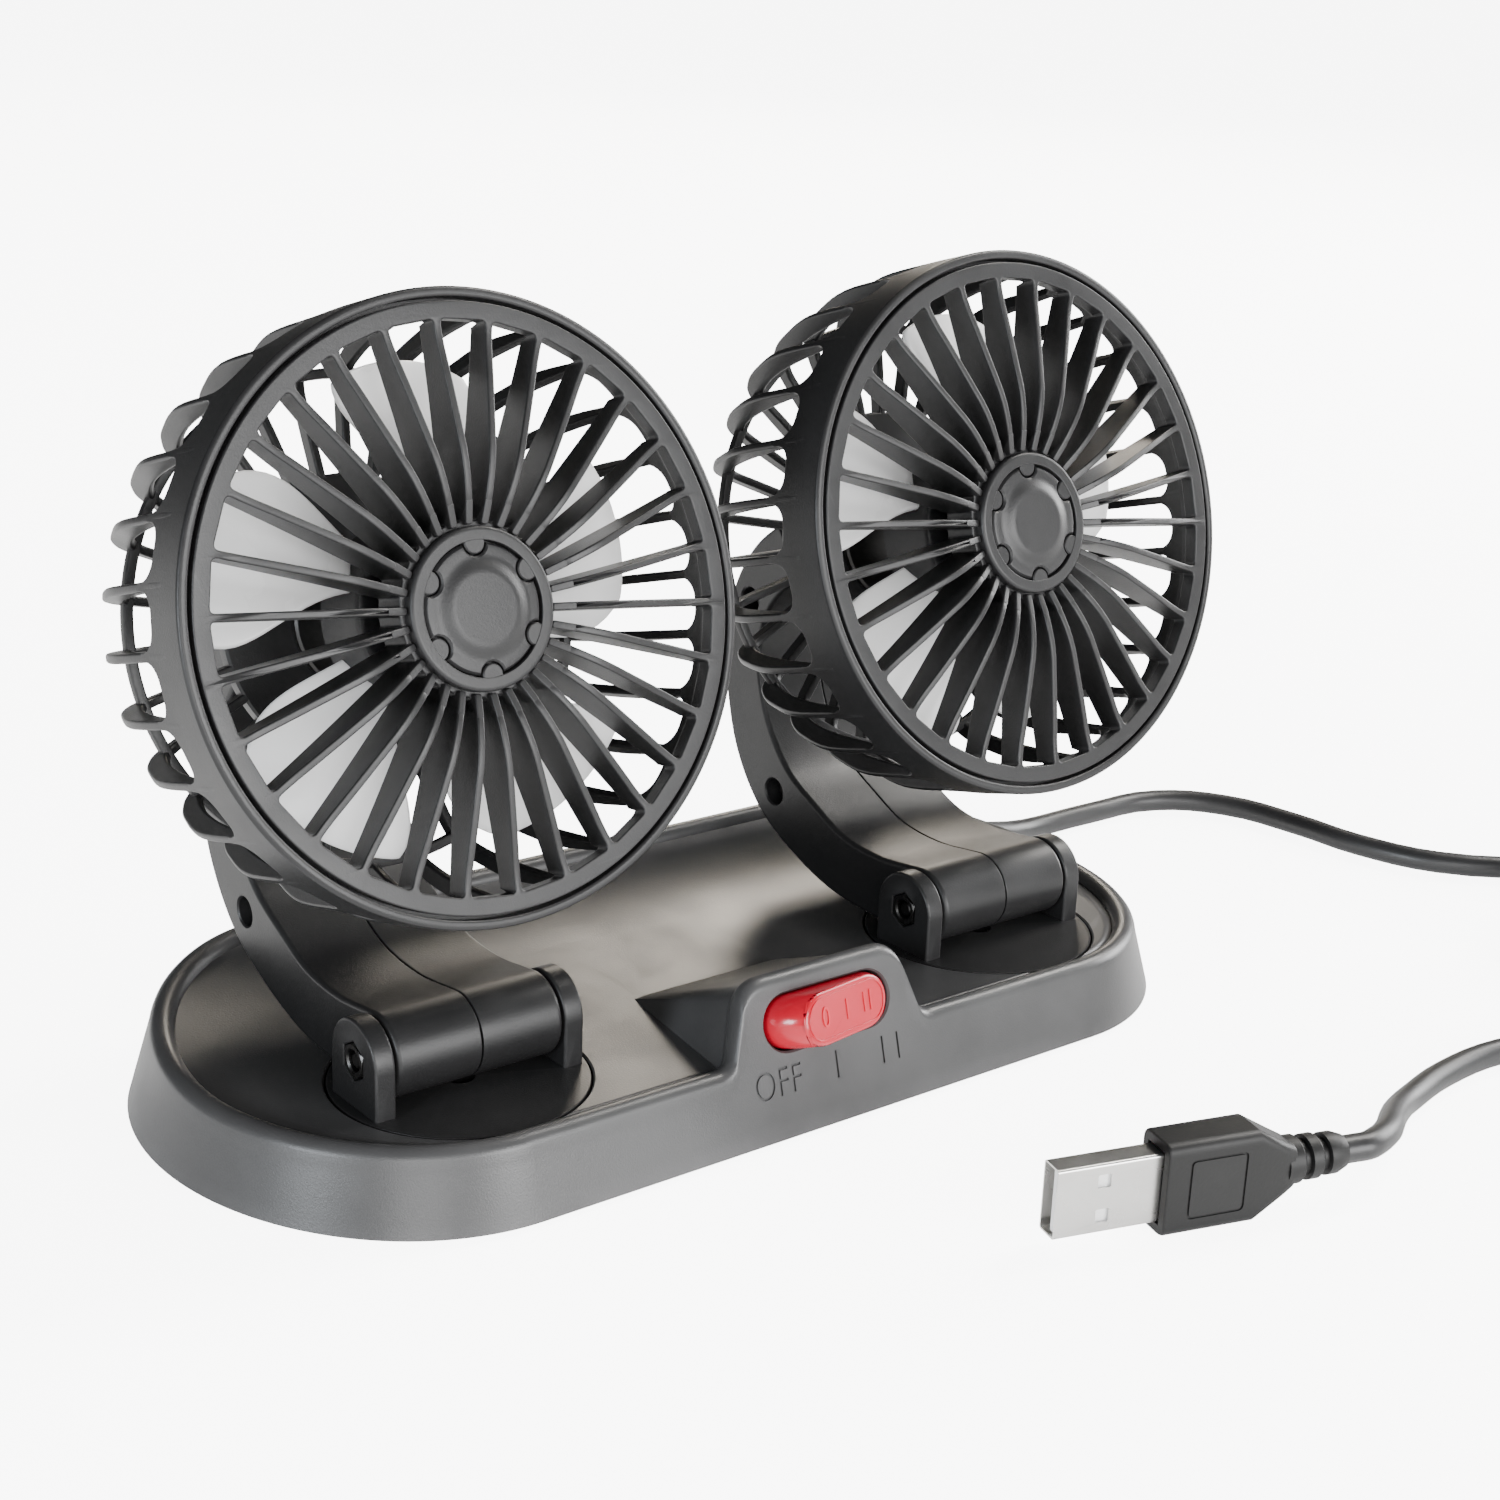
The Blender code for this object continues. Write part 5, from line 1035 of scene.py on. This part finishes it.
class DESKFAN_OT_arms(FanOperator, bpy.types.Operator):
    """Model the two-shell arms with their seam, boss and screws"""

    bl_idname = "deskfan.arms"
    bl_label = "Arms"

    def execute(self, context):
        for part, side in SIDES:
            node = f"arm_{part}_shell"
            dress_both(self.half(side), f"{node}_body", "dark grey plastic", "head", node,
                       hinge_place, 30.0)
        start = -BARREL_HALF + SCREW_DEPTH - GAP - SCREW_HEAD_THICK
        for number, (y, z) in enumerate(ARM_SCREWS, 1):
            screw = settle(cross_screw(SCREW_HEAD, SCREW_HEAD_THICK, SCREW_SHANK, SCREW_LENGTH),
                           at(start, y, z) @ ALONG_X)
            node = f"arm_screw_{number}"
            dress_both(screw, f"{node}_body", "blackened metal", "head", node, hinge_place)
        return {"FINISHED"}

    def half(self, side):
        near, far = side * GAP / 2, side * BARREL_HALF
        body = prism(arm_outline(8), min(near, far), max(near, far), "X")
        for plane, width, steps in ((far, sizes().arm_round, 4), (near, sizes().seam_round, 2)):
            bevel_edges(body, lambda e, x=plane: all(abs(v.co.x - x) < MERGE for v in e.verts)
                        and len(e.link_faces) == 2, width, steps)
        start = -CAGE_DEPTH - CAGE_BACK / 2 - GAP
        end = start - BOSS_LENGTH
        radius, edge = BOSS_RADIUS, BOSS_EDGE
        profile = [(0, end), (radius - edge, end), (radius - edge / 4, end + edge / 4),
                   (radius, end + edge), (radius, start), (0, start)]
        boss = settle(lathe(profile, 64), head_local())
        edit(boss, action="SELECT")
        bpy.ops.mesh.bisect(plane_co=(near, 0, 0), plane_no=(-side, 0, 0), use_fill=True,
                            clear_outer=True)
        carve(body, tidy(boss), operation="UNION")
        carve(body, settle(rod(BOLT_RADIUS + GAP, -FAR, FAR, 24), ALONG_X))
        places = [at(0, y, z) @ ALONG_X for y, z in ARM_SCREWS]
        if side < 0:
            wide, flare, end = SCREW_RECESS, SCREW_RECESS + LEAD, -BARREL_HALF + SCREW_DEPTH
            for place in places:
                recess = lathe([(0, -FAR), (flare, -FAR), (flare, -BARREL_HALF),
                                (wide, -BARREL_HALF + LEAD), (wide, end), (0, end)], 32)
                carve(body, settle(recess, place))
        for place in places:
            carve(body, settle(rod(SCREW_HOLE, -2 * THROUGH, THROUGH, 20), place))
        return body


# Heads


def fin_outline():
    """One cage fin in (radius, height): a leaf down the side, then a rib in to the rear disc."""
    inside = CAGE_RADIUS - CAGE_WALL
    outer = smooth_line([(CAGE_RADIUS, -BAND_DEPTH + 0.004), (CAGE_RADIUS, -BAND_DEPTH - 0.002),
                         (CAGE_RADIUS - 0.0004, -0.0248), (CAGE_RADIUS - 0.0029, -0.0336),
                         (CAGE_RADIUS - 0.0052, -0.0382), (CAGE_RADIUS - 0.0085, -0.0409),
                         (0.0330, -0.0415), (CAGE_DISC - CHAMFER, -0.0415)], 5)
    inner = smooth_line([(CAGE_DISC - CHAMFER, -0.0385), (0.0320, -0.0385), (0.0388, -0.0381),
                         (0.0422, -0.0332), (0.0449, -0.0245), (inside, -BAND_DEPTH - 0.002),
                         (inside, -BAND_DEPTH + 0.004)], 5)
    return [tuple(point) for point in [*outer, *inner]]


class DESKFAN_OT_cages(FanOperator, bpy.types.Operator):
    """Model the finned rear cages"""

    bl_idname = "deskfan.cages"
    bl_label = "Rear cages"

    def execute(self, context):
        thick = sizes().fin_thickness
        band = self.band(thick)
        fin = prism(fin_outline(), -thick / 2, thick / 2, "Y")
        bevel_edges(fin, lambda e: abs(e.verts[0].co.y - e.verts[1].co.y) < MERGE, thick * 0.3, 3)
        fins = ring_of(fin, RIB_COUNT)
        hoop = rounded(box(*HOOP), CHAMFER, 2)
        hoop = lathe(hoop + [(HOOP[0] + CHAMFER, HOOP[1])], 120)
        back = CAGE_DEPTH + CAGE_BACK / 2
        front = -back + CAGE_BACK
        disc = lathe([(0, front), (CAGE_DISC - CHAMFER, front), (CAGE_DISC, front - CHAMFER),
                      (CAGE_DISC, -back + 0.0006), (CAGE_DISC - 0.0002, -back + 0.0002),
                      (CAGE_DISC - 0.0006, -back), (0, -back)], 96)
        inner, outer, deep = LEDGE
        top = -RIM_THICK - GAP
        low = -RIM_THICK - deep
        ledge = lathe([(inner, top), (outer, top), (outer, low), (inner, low), (inner, top)], 120)
        cage = join(band, fins, hoop, disc, ledge)
        dress_both(cage, "cage", "dark grey plastic", "head", "rear_cage", head_place, 32.0)
        return {"FINISHED"}

    def band(self, fin_thickness):
        """The front band, its rear edge cut into round-ended slots between the fins."""
        deep = BAND_DEPTH + 0.0046
        inner, outer, edge = CAGE_RADIUS - CAGE_WALL, CAGE_RADIUS, BAND_EDGE
        profile = [(inner, -0.0003), (inner + 0.0002, 0), (outer - edge, 0),
                   (outer - edge * 0.5, -edge * 0.13), (outer - edge * 0.13, -edge * 0.5),
                   (outer, -edge), (outer, -deep), (inner, -deep), (inner, -0.0003)]
        band = lathe(profile, 240)
        wide = (math.tau * CAGE_RADIUS / RIB_COUNT - fin_thickness) / 2
        turn = arc(SLOT_TURN, 0, QUARTER, 6, (wide - SLOT_TURN, -BAND_DEPTH - SLOT_TURN))
        outline = [(wide, -0.020), *turn]
        outline += [(-x, z) for x, z in reversed(outline)]
        slot = prism(outline, -CAGE_RADIUS - 0.004, -CAGE_RADIUS + 0.004, "Y")
        carve(band, ring_of(slot, RIB_COUNT, math.pi / RIB_COUNT - QUARTER))
        return soften(band, 0.00025, 2, 50.0)


def front_height(radius):
    """The grille's front surface: flat rim, vanes bowed forward, a low ledge round the hub."""
    if radius >= RIM_RADIUS - RIM_WIDTH:
        return 0.0
    share = (radius - HUB_RING) / (RIM_RADIUS - RIM_WIDTH - HUB_RING)
    if share <= BOW_START:
        return HUB_LEDGE
    bow = VANE_BULGE * (BOW_LOW + BOW_GAIN * math.sin(min(1.0, share / BOW_PEAK) * QUARTER))
    return bow * min(1.0, max(0.0, (BOW_END - share) / BOW_FALL)) ** BOW_POWER


def rear_height(radius):
    """The grille's back surface, deepest at the hub."""
    rim = RIM_RADIUS - RIM_WIDTH
    if radius >= rim - GRILLE_ROUND:
        return -RIM_THICK
    share = max(0.0, (rim - radius) / (rim - HUB_RING))
    return -VANE_REAR - (VANE_DEPTH - VANE_REAR) * share ** 2


class DESKFAN_OT_grilles(FanOperator, bpy.types.Operator):
    """Model the vaned front grilles with their hub caps"""

    bl_idname = "deskfan.grilles"
    bl_label = "Front grilles"

    def execute(self, context):
        for piece, name, node, angle in (
                (self.grille(sizes().vane_thickness), "grille", "front_grille", 40.0),
                (self.cap(), "hub_cap", "grille_cap", 30.0)):
            dress_both(piece, name, "dark grey plastic", "head", node, head_place, angle)
        return {"FINISHED"}

    def opening(self, thick):
        """One opening between two vanes, in the plane, its corners rounded."""
        low, high = HUB_RING + TOOTH, RIM_RADIUS - RIM_WIDTH

        def side(radius, sign):
            """On the line half a vane's thickness off the vane's middle."""
            along = math.sqrt(radius ** 2 - (thick / 2) ** 2)
            turn = Matrix.Rotation(sign * math.pi / RIB_COUNT, 2)
            return turn @ Vector((along, -sign * thick / 2))

        radii = [low + (high - low) * k / 14 for k in range(15)]
        points = [side(r, -1) for r in radii] + [side(r, 1) for r in reversed(radii)]
        corners = [0.0005] + [0] * 13 + [0.0011, 0.0011] + [0] * 13 + [0.0005]
        return rounded([tuple(point) for point in points], corners, 4)

    def grille(self, vane_thickness):
        first, openings = self.opening(vane_thickness), []
        for k in range(RIB_COUNT):
            turn = Matrix.Rotation(math.tau * k / RIB_COUNT, 2)
            openings.append([tuple(turn @ Vector(point)) for point in first])
        outside, hole = (arc(radius, 0, math.tau, steps)[:-1] for radius, steps in (
            (RIM_RADIUS - GRILLE_ROUND, 240), (CAP_RADIUS, 96)))
        body = moulding([outside, *openings, hole], GRILLE_BLANK, GRILLE_ROUND, 2)
        for vertex in edit(body).verts:
            radius = math.hypot(vertex.co.x, vertex.co.y)
            if vertex.co.z > 0:
                vertex.co.z += front_height(radius) - GRILLE_BLANK / 2
            else:
                vertex.co.z += rear_height(radius) + GRILLE_BLANK / 2
        bmesh.update_edit_mesh(body.data)
        tidy(body)
        seat, wide, back = HUB_RISE - CAP_SEAT, HUB_RING - 0.0006, -VANE_DEPTH + GAP
        floor = lathe([(0, seat), (wide, seat), (wide, back), (0, back)], 64)
        return join(body, floor, self.bead(), self.vane_ends(vane_thickness))

    def bead(self):
        """The rounded ring round the cap, with the tabs that fill the cap's notches."""
        inner, seat = CAP_RADIUS + GAP, HUB_RISE - CAP_SEAT - GAP
        profile = rounded([(inner, seat), (inner, HUB_RISE), (BEAD_OUTSIDE, HUB_RISE),
                           (BEAD_OUTSIDE, seat)], [0, 0.0002, 0.0008, 0], 5)
        bead = lathe([*profile, profile[0]], 120)
        wide, top = CAP_NOTCH - GAP, HUB_RISE - 0.0001
        tab = lathe([(0, seat), (wide, seat), (wide, top - 0.0002), (wide - 0.0002, top),
                     (0, top)], 40)
        settle(tab, at(CAP_RADIUS))
        return carve(bead, ring_of(tab, CAP_NOTCHES, math.pi / CAP_NOTCHES), operation="UNION")

    def vane_ends(self, vane_thickness):
        """The vanes' ends, which run down over the hub's ledge to the bead."""
        half, start = vane_thickness / 2, BEAD_OUTSIDE + 0.0002
        end = HUB_RING + TOOTH + VANE_END_REACH
        low, climb = VANE_END_LOW * VANE_BULGE, VANE_END_CLIMB * VANE_BULGE / (end - start)
        outline = rounded(box(start, -half, end, half), [half * 0.8, 0, 0, half * 0.8], 4)
        root = prism(outline, -0.0020, low)
        bevel_edges(root, lambda e: all(v.co.z > 0 for v in e.verts), 0.0002, 2)
        for vertex in root.data.vertices:
            if vertex.co.z > 0:
                vertex.co.z += climb * (vertex.co.x - start)
        return ring_of(root, RIB_COUNT, math.pi / RIB_COUNT)

    def cap(self):
        low, top = HUB_RISE - CAP_SEAT + GAP, HUB_RISE
        profile = [(0, top + CAP_DOME), (CAP_DOME_RADIUS - CAP_DOME_EDGE, top + CAP_DOME)]
        for k in range(1, 7):
            profile.append((CAP_DOME_RADIUS + CAP_DOME_EDGE * (k / 3 - 1),
                            top + CAP_DOME * (0.5 + 0.5 * math.cos(math.pi * k / 6))))
        profile += [(CAP_RADIUS - 0.0009, top), (CAP_RADIUS - 0.0004, top - 0.0001),
                    (CAP_RADIUS, top - 0.0006), (CAP_RADIUS, low), (0, low)]
        cap = lathe(profile, 120)
        flare = CAP_NOTCH + LEAD
        notch = lathe([(0, low - PAST), (CAP_NOTCH, low - PAST), (CAP_NOTCH, top - LEAD),
                       (flare, top), (flare, top + PAST), (0, top + PAST)], 40)
        settle(notch, at(CAP_RADIUS))
        return carve(cap, ring_of(notch, CAP_NOTCHES, math.pi / CAP_NOTCHES))


class DESKFAN_OT_fans(FanOperator, bpy.types.Operator):
    """Model the white blades, their dark hubs and the motors behind them"""

    bl_idname = "deskfan.fans"
    bl_label = "Fans and motors"

    def execute(self, context):
        dress_both(self.blades(), "fan_blades", "white blade plastic", "fan_body", "fan",
                   head_place, 50.0)
        dress_both(self.hub(), "fan_cup", "dark plastic", "fan_body", "fan_hub", head_place)
        dress_both(self.can(), "motor", "blackened metal", "head", "motor_can", head_place)
        return {"FINISHED"}

    def blades(self):
        """Wide blades on a thin ring: a flat grid is swept, pitched and given its thickness."""
        leave_all()
        bpy.ops.mesh.primitive_grid_add(x_subdivisions=16, y_subdivisions=16, size=1)
        blade = bpy.context.object
        root, middle = SLEEVE_RADIUS - SLEEVE_WALL / 2, FAN_FRONT_Z - FAN_DEPTH / 2
        for vertex in edit(blade).verts:
            share, side = vertex.co.x + 0.5, vertex.co.y * 2
            span = BLADE_ROOT_SPAN + (BLADE_TIP_SPAN - BLADE_ROOT_SPAN) * math.sin(share * QUARTER)
            trim = 1.0 - BLADE_TRIM * share ** 4 * abs(side) ** 0.5
            reach = share * (1.0 - BLADE_ROUNDING * side ** 2 * share ** 3)
            radius = root + (FAN_RADIUS - root) * reach
            pitch = FAN_PITCH * (1 - BLADE_UNTWIST * share)
            turn = span * side / 2 * trim
            angle = BLADE_SWEEP * share + turn
            vertex.co = (radius * math.cos(angle), radius * math.sin(angle),
                         middle + turn * root * math.tan(pitch) * BLADE_RISE)
        bmesh.update_edit_mesh(blade.data)
        tidy(modify(blade, "SOLIDIFY", thickness=BLADE_THICK, offset=0.0))
        bevel_edges(blade, lambda e: e.calc_face_angle(0) > math.radians(50), 0.0005, 2)
        inner, outer = SLEEVE_RADIUS - SLEEVE_WALL, SLEEVE_RADIUS - 0.0004
        top, low = FAN_FRONT_Z - 0.0015, FAN_FRONT_Z - FAN_DEPTH + 0.0010
        sleeve = lathe([(inner, top), (outer, top), (outer, low), (inner, low), (inner, top)], 72)
        return join(ring_of(blade, FAN_BLADES), sleeve)

    def hub(self):
        outside, inside, low = SLEEVE_RADIUS, MOTOR_RADIUS + 0.0005, FAN_FRONT_Z - FAN_DEPTH
        roof, blind = FAN_FRONT_Z - FAN_CAP, FAN_FRONT_Z - FAN_CAP / 3
        profile = [(0, FAN_FRONT_Z), (outside - 0.0012, FAN_FRONT_Z),
                   (outside - 0.0004, FAN_FRONT_Z - 0.0003), (outside, FAN_FRONT_Z - 0.0011),
                   (outside, low), (inside, low), (inside, roof),
                   (SHAFT_BORE, roof), (SHAFT_BORE, blind), (0, blind)]
        return lathe(profile, 72)

    def can(self):
        back = -CAGE_DEPTH + CAGE_BACK / 2 + GAP
        top, radius = back + MOTOR_LENGTH, MOTOR_RADIUS
        profile = [(SHAFT_BORE, top), (0.0032, top), (0.0034, top - 0.0004),
                   (radius - 0.0012, top - 0.0004), (radius - 0.0003, top - 0.0007),
                   (radius, top - 0.0016), (radius, back + 0.0022),
                   (radius - 0.0004, back + 0.0018), (radius - 0.0004, back + 0.0012),
                   (radius, back + 0.0008), (radius, back), (SHAFT_BORE, back), (SHAFT_BORE, top)]
        can = lathe(profile, 72)
        vent = prism(stadium(*VENT_HALF, 8), top - VENT_DEPTH, top + PAST)
        settle(vent, at(VENT_AT) @ Matrix.Rotation(QUARTER, 4, "Z"))
        return carve(can, ring_of(vent, 4))


# Switch


class DESKFAN_OT_rocker(FanOperator, bpy.types.Operator):
    """Model the glossy rocker with its raised marks"""

    bl_idname = "deskfan.rocker"
    bl_label = "Rocker"

    def execute(self, context):
        height, face = ROCKER_HALF_HEIGHT, ROCKER_FACE - 0.0001
        ends = [point for point in stadium(ROCKER_HALF_LENGTH, height, 20) if point[0] > 0]
        button = lathe([(0, height), *reversed(ends), (0, -height)], 120)
        settle(button, FACING_FRONT)
        slab = prism(box(-FAR, -FAR, FAR, FAR), -ROCKER_BACK, face)
        carve(button, slab, operation="INTERSECT")
        bevel_edges(button, lambda e: e.calc_face_angle(0) > math.radians(25)
                    and all(v.co.z > ROCKER_FACE - CHAMFER for v in e.verts), 0.0005, 4)
        border = moulding([stadium(*half, 20) for half in ROCKER_BORDER], 0.0003, 0.00005, 1)
        marks = []
        for text, x in ROCKER_MARKS:
            place = at(x, 0, face) @ Matrix.Scale(ROCKER_MARK_NARROW, 4, AXIS["X"])
            marks.append(mark(text, ROCKER_MARK_HEIGHT, place, ROCKER_MARK_RISE, 0.0, 1.3))
        button = settle(join(button, settle(border, at(z=face)), *marks), rocker_place())
        dress(button, "rocker_cap", "glossy red plastic", "rocker", "rocker_button", 30.0)
        return {"FINISHED"}


# Cord and plug


def straight_end(place, heading, diameter):
    return [place + heading * (GAP + diameter * share) for share in (0, 0.5, 1.0)]


def coil_low(diameter):
    """Height of the cord's middle in the coil's lower layer, on the tie."""
    return TIE_THICK + GAP + diameter / 2


def coil_points(diameter):
    """Inward in one layer, up, and outward in the next."""
    pitch = diameter + COIL_GAP
    sweep = 2 * COIL_TURNS * math.tau - COIL_LEAVES_AT - math.tau
    count = round(sweep / math.tau * COIL_POINTS)
    points = []
    for k in range(count + 1):
        angle = sweep * k / count
        radius = COIL_RADIUS - pitch * min(angle, sweep - angle) / math.tau
        climb = min(1.0, max(0.0, (angle - sweep / 2 + QUARTER) / math.pi))
        height = coil_low(diameter) + pitch * (3 * climb ** 2 - 2 * climb ** 3)
        points.append(Vector((COIL_CENTRE[0] + radius * math.cos(-angle),
                              COIL_CENTRE[1] + radius * math.sin(-angle), height)))
    return points


def cord_route(diameter):
    """From the grommet round the right side, through the coil and back to the plug."""
    out, plug, coil = exit_place(), plug_place(), coil_points(diameter)
    start = straight_end(out @ Vector((0, 0, GROMMET_REACH)), out.to_3x3() @ AXIS["Z"], diameter)
    arrive = straight_end(coil[0], (coil[0] - coil[1]).normalized(), diameter)[1:]
    leave = straight_end(coil[-1], (coil[-1] - coil[-2]).normalized(), diameter)[1:]
    end = straight_end(plug @ Vector((0, 0, -RELIEF_LENGTH)), plug.to_3x3() @ -AXIS["Z"], diameter)
    points = [*start, *CORD_OUT_ROUTE, *reversed(arrive), *coil, *leave, *CORD_IN_ROUTE,
              *reversed(end)]
    return [Vector(point) for point in points]


class DESKFAN_OT_cord(FanOperator, bpy.types.Operator):
    """Lay the cord from its grommet to the plug, with its coil and tie"""

    bl_idname = "deskfan.cord"
    bl_label = "Cord"

    def execute(self, context):
        diameter = sizes().cord_diameter
        route = cord_route(diameter)
        curve = bpy.data.curves.new("cord", "CURVE")
        curve.dimensions, curve.resolution_u = "3D", 4
        curve.bevel_depth, curve.bevel_resolution, curve.use_fill_caps = diameter / 2, 5, True
        spline = curve.splines.new("BEZIER")
        spline.bezier_points.add(len(route) - 1)
        for point, place in zip(spline.bezier_points, route):
            point.co = place
            point.handle_left_type = point.handle_right_type = "AUTO"
        cord = linked("cord", curve)
        curve.materials.append(bpy.data.materials["cord rubber"])
        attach(cord, "base")
        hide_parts("cord_from_base", "cord_coil", "cord_to_plug")
        goes_with = [self.tie(diameter), *self.plug()]
        self.grommet(diameter)
        return {"FINISHED"}

    def tie(self, diameter):
        """A strap round the bundle of turns, its corners rounded."""
        pitch, wall = diameter + COIL_GAP, TIE_THICK
        turns = len(coil_points(diameter)) / COIL_POINTS / 2
        inner = COIL_RADIUS - pitch * turns - diameter / 2 - GAP - COIL_GAP
        outer = COIL_RADIUS + diameter / 2 + GAP
        high = coil_low(diameter) + pitch + diameter / 2 + GAP
        outside = rounded(box(inner - wall, 0, outer + wall, high + wall), 0.0031, 6)
        inside = rounded(box(inner, wall, outer, high), 0.0024, 6)
        tie = moulding([outside, inside], TIE_WIDTH, 0.0002, 1)
        settle(tie, at(*COIL_CENTRE) @ Matrix.Rotation(TIE_AT, 4, "Z") @ FACING_FRONT)
        return dress(tie, "cord_tie", "dark plastic", "base", "coil_tie")

    def grommet(self, diameter):
        """A ringed strain relief that narrows toward the cord."""
        inside, start = -WALL - GAP - 0.0012, 0.0004
        bore, narrow = diameter / 2, diameter / 2 + 0.0004
        step = (GROMMET_REACH - start) / 3
        profile = [(bore, inside), (GROMMET_RADIUS, inside), (GROMMET_RADIUS, start)]
        for k in range(3):
            z, size = start + k * step, GROMMET_RADIUS - k * 0.0004
            profile += [(narrow, z + 0.0002), (narrow, z + 0.0005), (size, z + 0.0007),
                        (size, z + step - 0.0002), (size - 0.0003, z + step)]
        profile += [(bore, GROMMET_REACH), (bore, inside)]
        relief = settle(lathe(profile, 48), exit_place())
        dress(relief, "cord_relief", "cord rubber", "base", "cord_grommet")

    def plug(self):
        return [dress(settle(piece, plug_place()), name, look, "base", node, 30.0)
                for piece, name, look, node in (
                    (self.overmould(), "plug_moulding", "plug rubber", "plug_overmold"),
                    (self.sleeve(), "plug_sleeve", "plated metal", "plug_shell"),
                    (self.tongue(), "plug_insert", "white blade plastic", "plug_tongue"))]

    def overmould(self):
        """The plug's moulded body: ringed relief, socket for the metal, framed faces."""
        half_w, half_t = PLUG_WIDTH / 2, PLUG_THICK / 2
        layers = [(half_w * wide, half_t * thick, z) for wide, thick, z in PLUG_LAYERS]
        body = stacked([(rounded(box(-a, -b, a, b), 0.0019, 5), z) for a, b, z in layers])
        profile, step = [(0, PAST), (RELIEF_RADIUS, PAST)], RELIEF_LENGTH / 3
        for k in range(3):
            top, wide = -k * step, RELIEF_RADIUS - k * RELIEF_TAPER
            profile += [(wide, top), (wide, top - step * 0.50), (wide - 0.0003, top - step * 0.60),
                        (wide - RELIEF_GROOVE, top - step * 0.64),
                        (wide - RELIEF_GROOVE, top - step * 0.96)]
        profile = profile[:-3] + [(RELIEF_RADIUS - 0.0012, -RELIEF_LENGTH), (0, -RELIEF_LENGTH)]
        carve(body, lathe(profile, 48), operation="UNION")
        width, thick = METAL_WIDTH / 2 + GAP, METAL_THICK / 2 + GAP
        socket = box(-width, -thick, width, thick)
        carve(body, prism(socket, PLUG_LENGTH - METAL_THICK, PLUG_LENGTH + 2 * PAST))
        for side in (-1, 1):
            outlines = [rounded(box(-half, low, half, high), corner, 4)
                           for half, low, high, corner in PLUG_FRAMES]
            line = moulding(outlines, 0.0006, 0.00005, 1)
            carve(body, settle(line, at(0, side * half_t) @ FACING_FRONT))
        return body

    def sleeve(self):
        """The plug's metal, open at its end, with two windows in each face."""
        half_w, half_t = METAL_WIDTH / 2, METAL_THICK / 2
        start, end = PLUG_LENGTH - METAL_THICK + GAP, PLUG_LENGTH + METAL_LENGTH
        outer = rounded(box(-half_w, -half_t, half_w, half_t), 0.0006, 4)
        a, b = half_w - METAL_WALL, half_t - METAL_WALL
        inner = rounded(box(-a, -b, a, b), 0.0004, 4)
        shell = stacked([(outer, start), (outer, end)])
        carve(shell, stacked([(inner, start - PAST), (inner, end + PAST)]))
        outline = rounded(box(-WINDOW_HALF, -WINDOW_HALF, WINDOW_HALF, WINDOW_HALF), 0.0003, 3)
        for x in (-METAL_WIDTH / 4, METAL_WIDTH / 4):
            for y in (-half_t, half_t):
                place = at(x, y, PLUG_LENGTH + WINDOW_AT * METAL_LENGTH) @ FACING_FRONT
                carve(shell, settle(prism(outline, -0.0004, 0.0004), place))
        return shell

    def tongue(self):
        a, low = METAL_WIDTH / 2 - METAL_WALL - GAP, -METAL_THICK / 2 + METAL_WALL + GAP
        start, end = PLUG_LENGTH - METAL_THICK + 2 * GAP, PLUG_LENGTH + METAL_LENGTH - 2 * GAP
        return soften(prism(box(-a, low, a, low + TONGUE_THICK), start, end), 0.0002, 2)


# Panel and run


STEPS = (
    "finishes", "stage", "cord", "base", "underside", "turntables", "arms", "cages", "grilles",
    "fans", "rocker",
)


class DESKFAN_PT_panel(bpy.types.Panel):
    """Lists the fan's sizes, its colours and the steps that make it"""

    bl_idname = "DESKFAN_PT_panel"
    bl_label = "Desk fan"
    bl_space_type = "VIEW_3D"
    bl_region_type = "UI"
    bl_category = "Desk fan"

    def draw(self, context):
        for group in (context.scene.desk_fan_sizes, context.scene.desk_fan_colours):
            for name in group.__annotations__:
                self.layout.prop(group, name)
        for step in STEPS:
            self.layout.operator(f"deskfan.{step}")


CLASSES = (
    FanSizes, FanColours, DESKFAN_OT_finishes, DESKFAN_OT_stage, DESKFAN_OT_cord, DESKFAN_OT_base,
    DESKFAN_OT_underside, DESKFAN_OT_turntables, DESKFAN_OT_arms, DESKFAN_OT_cages,
    DESKFAN_OT_grilles, DESKFAN_OT_fans, DESKFAN_OT_rocker, DESKFAN_PT_panel,
)


def register():
    for item in CLASSES:
        bpy.utils.register_class(item)
    bpy.types.Scene.desk_fan_sizes = bpy.props.PointerProperty(type=FanSizes)
    bpy.types.Scene.desk_fan_colours = bpy.props.PointerProperty(type=FanColours)


def unregister():
    del bpy.types.Scene.desk_fan_colours
    del bpy.types.Scene.desk_fan_sizes
    for item in reversed(CLASSES):
        bpy.utils.unregister_class(item)


def main():
    register()
    for step in STEPS:
        getattr(bpy.ops.deskfan, step)()
    leave_all()


if __name__ == "__main__":
    main()
